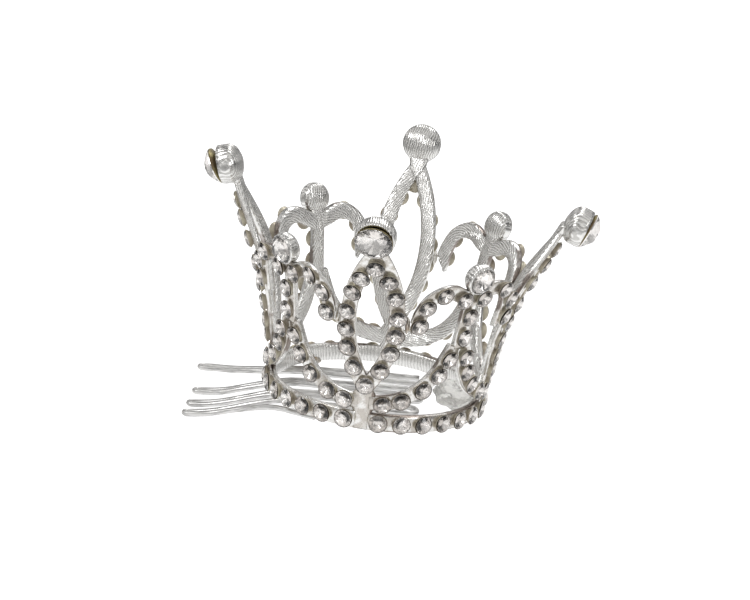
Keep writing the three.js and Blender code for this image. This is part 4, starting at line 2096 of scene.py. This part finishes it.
class Studio:
    """The floor, the lights and the camera."""

    TABLE_SLOPE = 0.1317
    FLOOR_HALF = 3.0  # metres
    FLOOR_GAP = 0.00012  # metres between the ring and the floor
    STOPS = ((0.0, 0.4), (0.5, 0.35), (0.55, 0.12), (0.62, 0.3), (0.7, 0.8), (0.8, 0.28), (1.0, 0.8))
    STRENGTH = 0.7

    def __init__(self, palette: Palette, shot: Shot = Shot()) -> None:
        """Takes the finishes and the camera's place."""
        self.palette = palette
        self.shot = shot

    def floor(self) -> None:
        """A white surface under the ring's right edge and the comb's tips."""
        lean = math.atan(self.TABLE_SLOPE)
        size = self.FLOOR_HALF
        mesh = bpy.data.meshes.new("floor")
        corners = []
        for x, y in ((-1, -1), (1, -1), (1, 1), (-1, 1)):
            along = x * size
            out = WALL.ring_radius * MM + along * math.cos(lean)
            corners.append((out, y * size, along * math.sin(lean) - self.FLOOR_GAP))
        mesh.from_pydata(corners, [], [(0, 1, 2, 3)])
        mesh.materials.append(self.palette.paper)
        link("floor", mesh)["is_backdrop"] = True

    def world(self) -> None:
        """A bright room with darker bands, which the metal shows as grey lines; white to the camera."""
        world = bpy.data.worlds.new("Studio")
        bpy.context.scene.world = world
        world.use_nodes = True
        nodes = Nodes(world.node_tree)
        background = world.node_tree.nodes["Background"]
        direction = nodes.add("ShaderNodeTexCoord").outputs["Generated"]
        parts = nodes.add("ShaderNodeSeparateXYZ")
        nodes.join(direction, parts.inputs[0])
        ramp = nodes.add("ShaderNodeValToRGB")
        nodes.join(nodes.plus(nodes.times(parts.outputs["Z"], 0.5), 0.5), ramp.inputs[0])
        for i, (place, value) in enumerate(self.STOPS):
            stop = ramp.color_ramp.elements[i] if i < 2 else ramp.color_ramp.elements.new(place)
            stop.position = place
            stop.color = (value, value, value, 1)
        broad = nodes.ramp(nodes.noise(direction, 2.2, 1.0), 0.44, 0.56)
        dimmed = nodes.mix(nodes.times(broad, 0.85), ramp.outputs[0], (0.03, 0.03, 0.031, 1))
        small = nodes.ramp(nodes.noise(direction, 6.0, 0.0), 0.5, 0.56)
        room = nodes.mix(small, dimmed, (1.5, 1.48, 1.45, 1))
        seen = nodes.add("ShaderNodeLightPath").outputs["Is Camera Ray"]
        nodes.join(nodes.mix(seen, room, (1.7, 1.7, 1.7, 1)), background.inputs["Color"])
        background.inputs["Strength"].default_value = self.STRENGTH

    def light(self, name: str, spot: Vector, size: float, power: float) -> None:
        """A soft square light aimed at the crown.

        Args:
            name: Its name.
            spot: Where it hangs, in metres.
            size: Its side in metres.
            power: Its power in watts.
        """
        lamp = bpy.data.lights.new(name, "AREA")
        lamp.shape, lamp.size, lamp.energy = "SQUARE", size, power
        made = bpy.data.objects.new(name, lamp)
        made.location = spot
        made.rotation_mode = "QUATERNION"
        made.rotation_quaternion = (Vector((0, 0, 0.015)) - spot).to_track_quat("-Z", "Y")
        bpy.context.scene.collection.objects.link(made)

    def lights(self) -> None:
        """A key from upper left, a fill from the right and a top light behind."""
        self.light("key", Vector((-0.5, -0.45, 0.6)), 0.3, 1.7)
        self.light("fill", Vector((0.6, -0.5, 0.4)), 0.2, 0.6)
        self.light("top", Vector((0.05, 0.4, 0.7)), 0.3, 1.3)

    def camera(self) -> None:
        """The camera, rolled as the crown stands tipped on its comb."""
        shot = self.shot
        azimuth, elevation, roll = (math.radians(v) for v in (shot.azimuth, shot.elevation, shot.roll))
        level = math.cos(elevation)
        back = Vector((math.sin(azimuth) * level, -math.cos(azimuth) * level, math.sin(elevation)))
        right = Vector((math.cos(azimuth), math.sin(azimuth), 0))
        up = back.cross(right)
        aim = Vector((0, 0, shot.aim_height)) + right * shot.aim_across + up * shot.aim_up
        data = bpy.data.cameras.new("camera")
        data.lens, data.sensor_width = shot.lens, 36.0
        data.clip_start, data.clip_end = 0.01, 20.0
        made = bpy.data.objects.new("camera", data)
        bpy.context.scene.collection.objects.link(made)
        across = right * math.cos(roll) + up * math.sin(roll)
        upright = up * math.cos(roll) - right * math.sin(roll)
        turn = Matrix((across, upright, back)).transposed().to_4x4()
        made.matrix_world = Matrix.Translation((aim + back * shot.distance) * MM) @ turn
        bpy.context.scene.camera = made

    def build(self) -> None:
        """Makes the studio."""
        self.floor()
        self.world()
        self.lights()
        self.camera()
        scene = bpy.context.scene
        scene.view_settings.view_transform = "Standard"
        scene.view_settings.look = "None"


def corners(box: tuple[Vector, Vector]) -> list[list[float]]:
    """A box as plain lists."""
    return [list(corner) for corner in box]


def main() -> None:
    """Builds every piece and the studio, and works out how big it is before and after, without keeping the
    result.
    """
    logging.basicConfig(level=logging.INFO, format="%(name)s: %(message)s")
    noise.seed_set(NOISE_SEED)
    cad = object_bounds()
    palette = Palette()
    stone = Chaton(radius=1.49, crown=0.46, pavilion=0.66, table=0.44, girdle=0.06)
    rows = StoneRows(palette, stone, Seat(), lift=0.74)
    for side in Side:
        TallPoint(side, palette, rows).build()
    for corner in Corner:
        BandQuarter(corner, palette, rows).build()
        ShortPoint(corner, palette, rows).build()
    rows.clear()
    Comb(palette).build()
    RingJoints(palette).build()
    Studio(palette).build()
    {"cad": corners(cad), "visual": corners(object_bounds())}


if __name__ == "__main__":
    main()
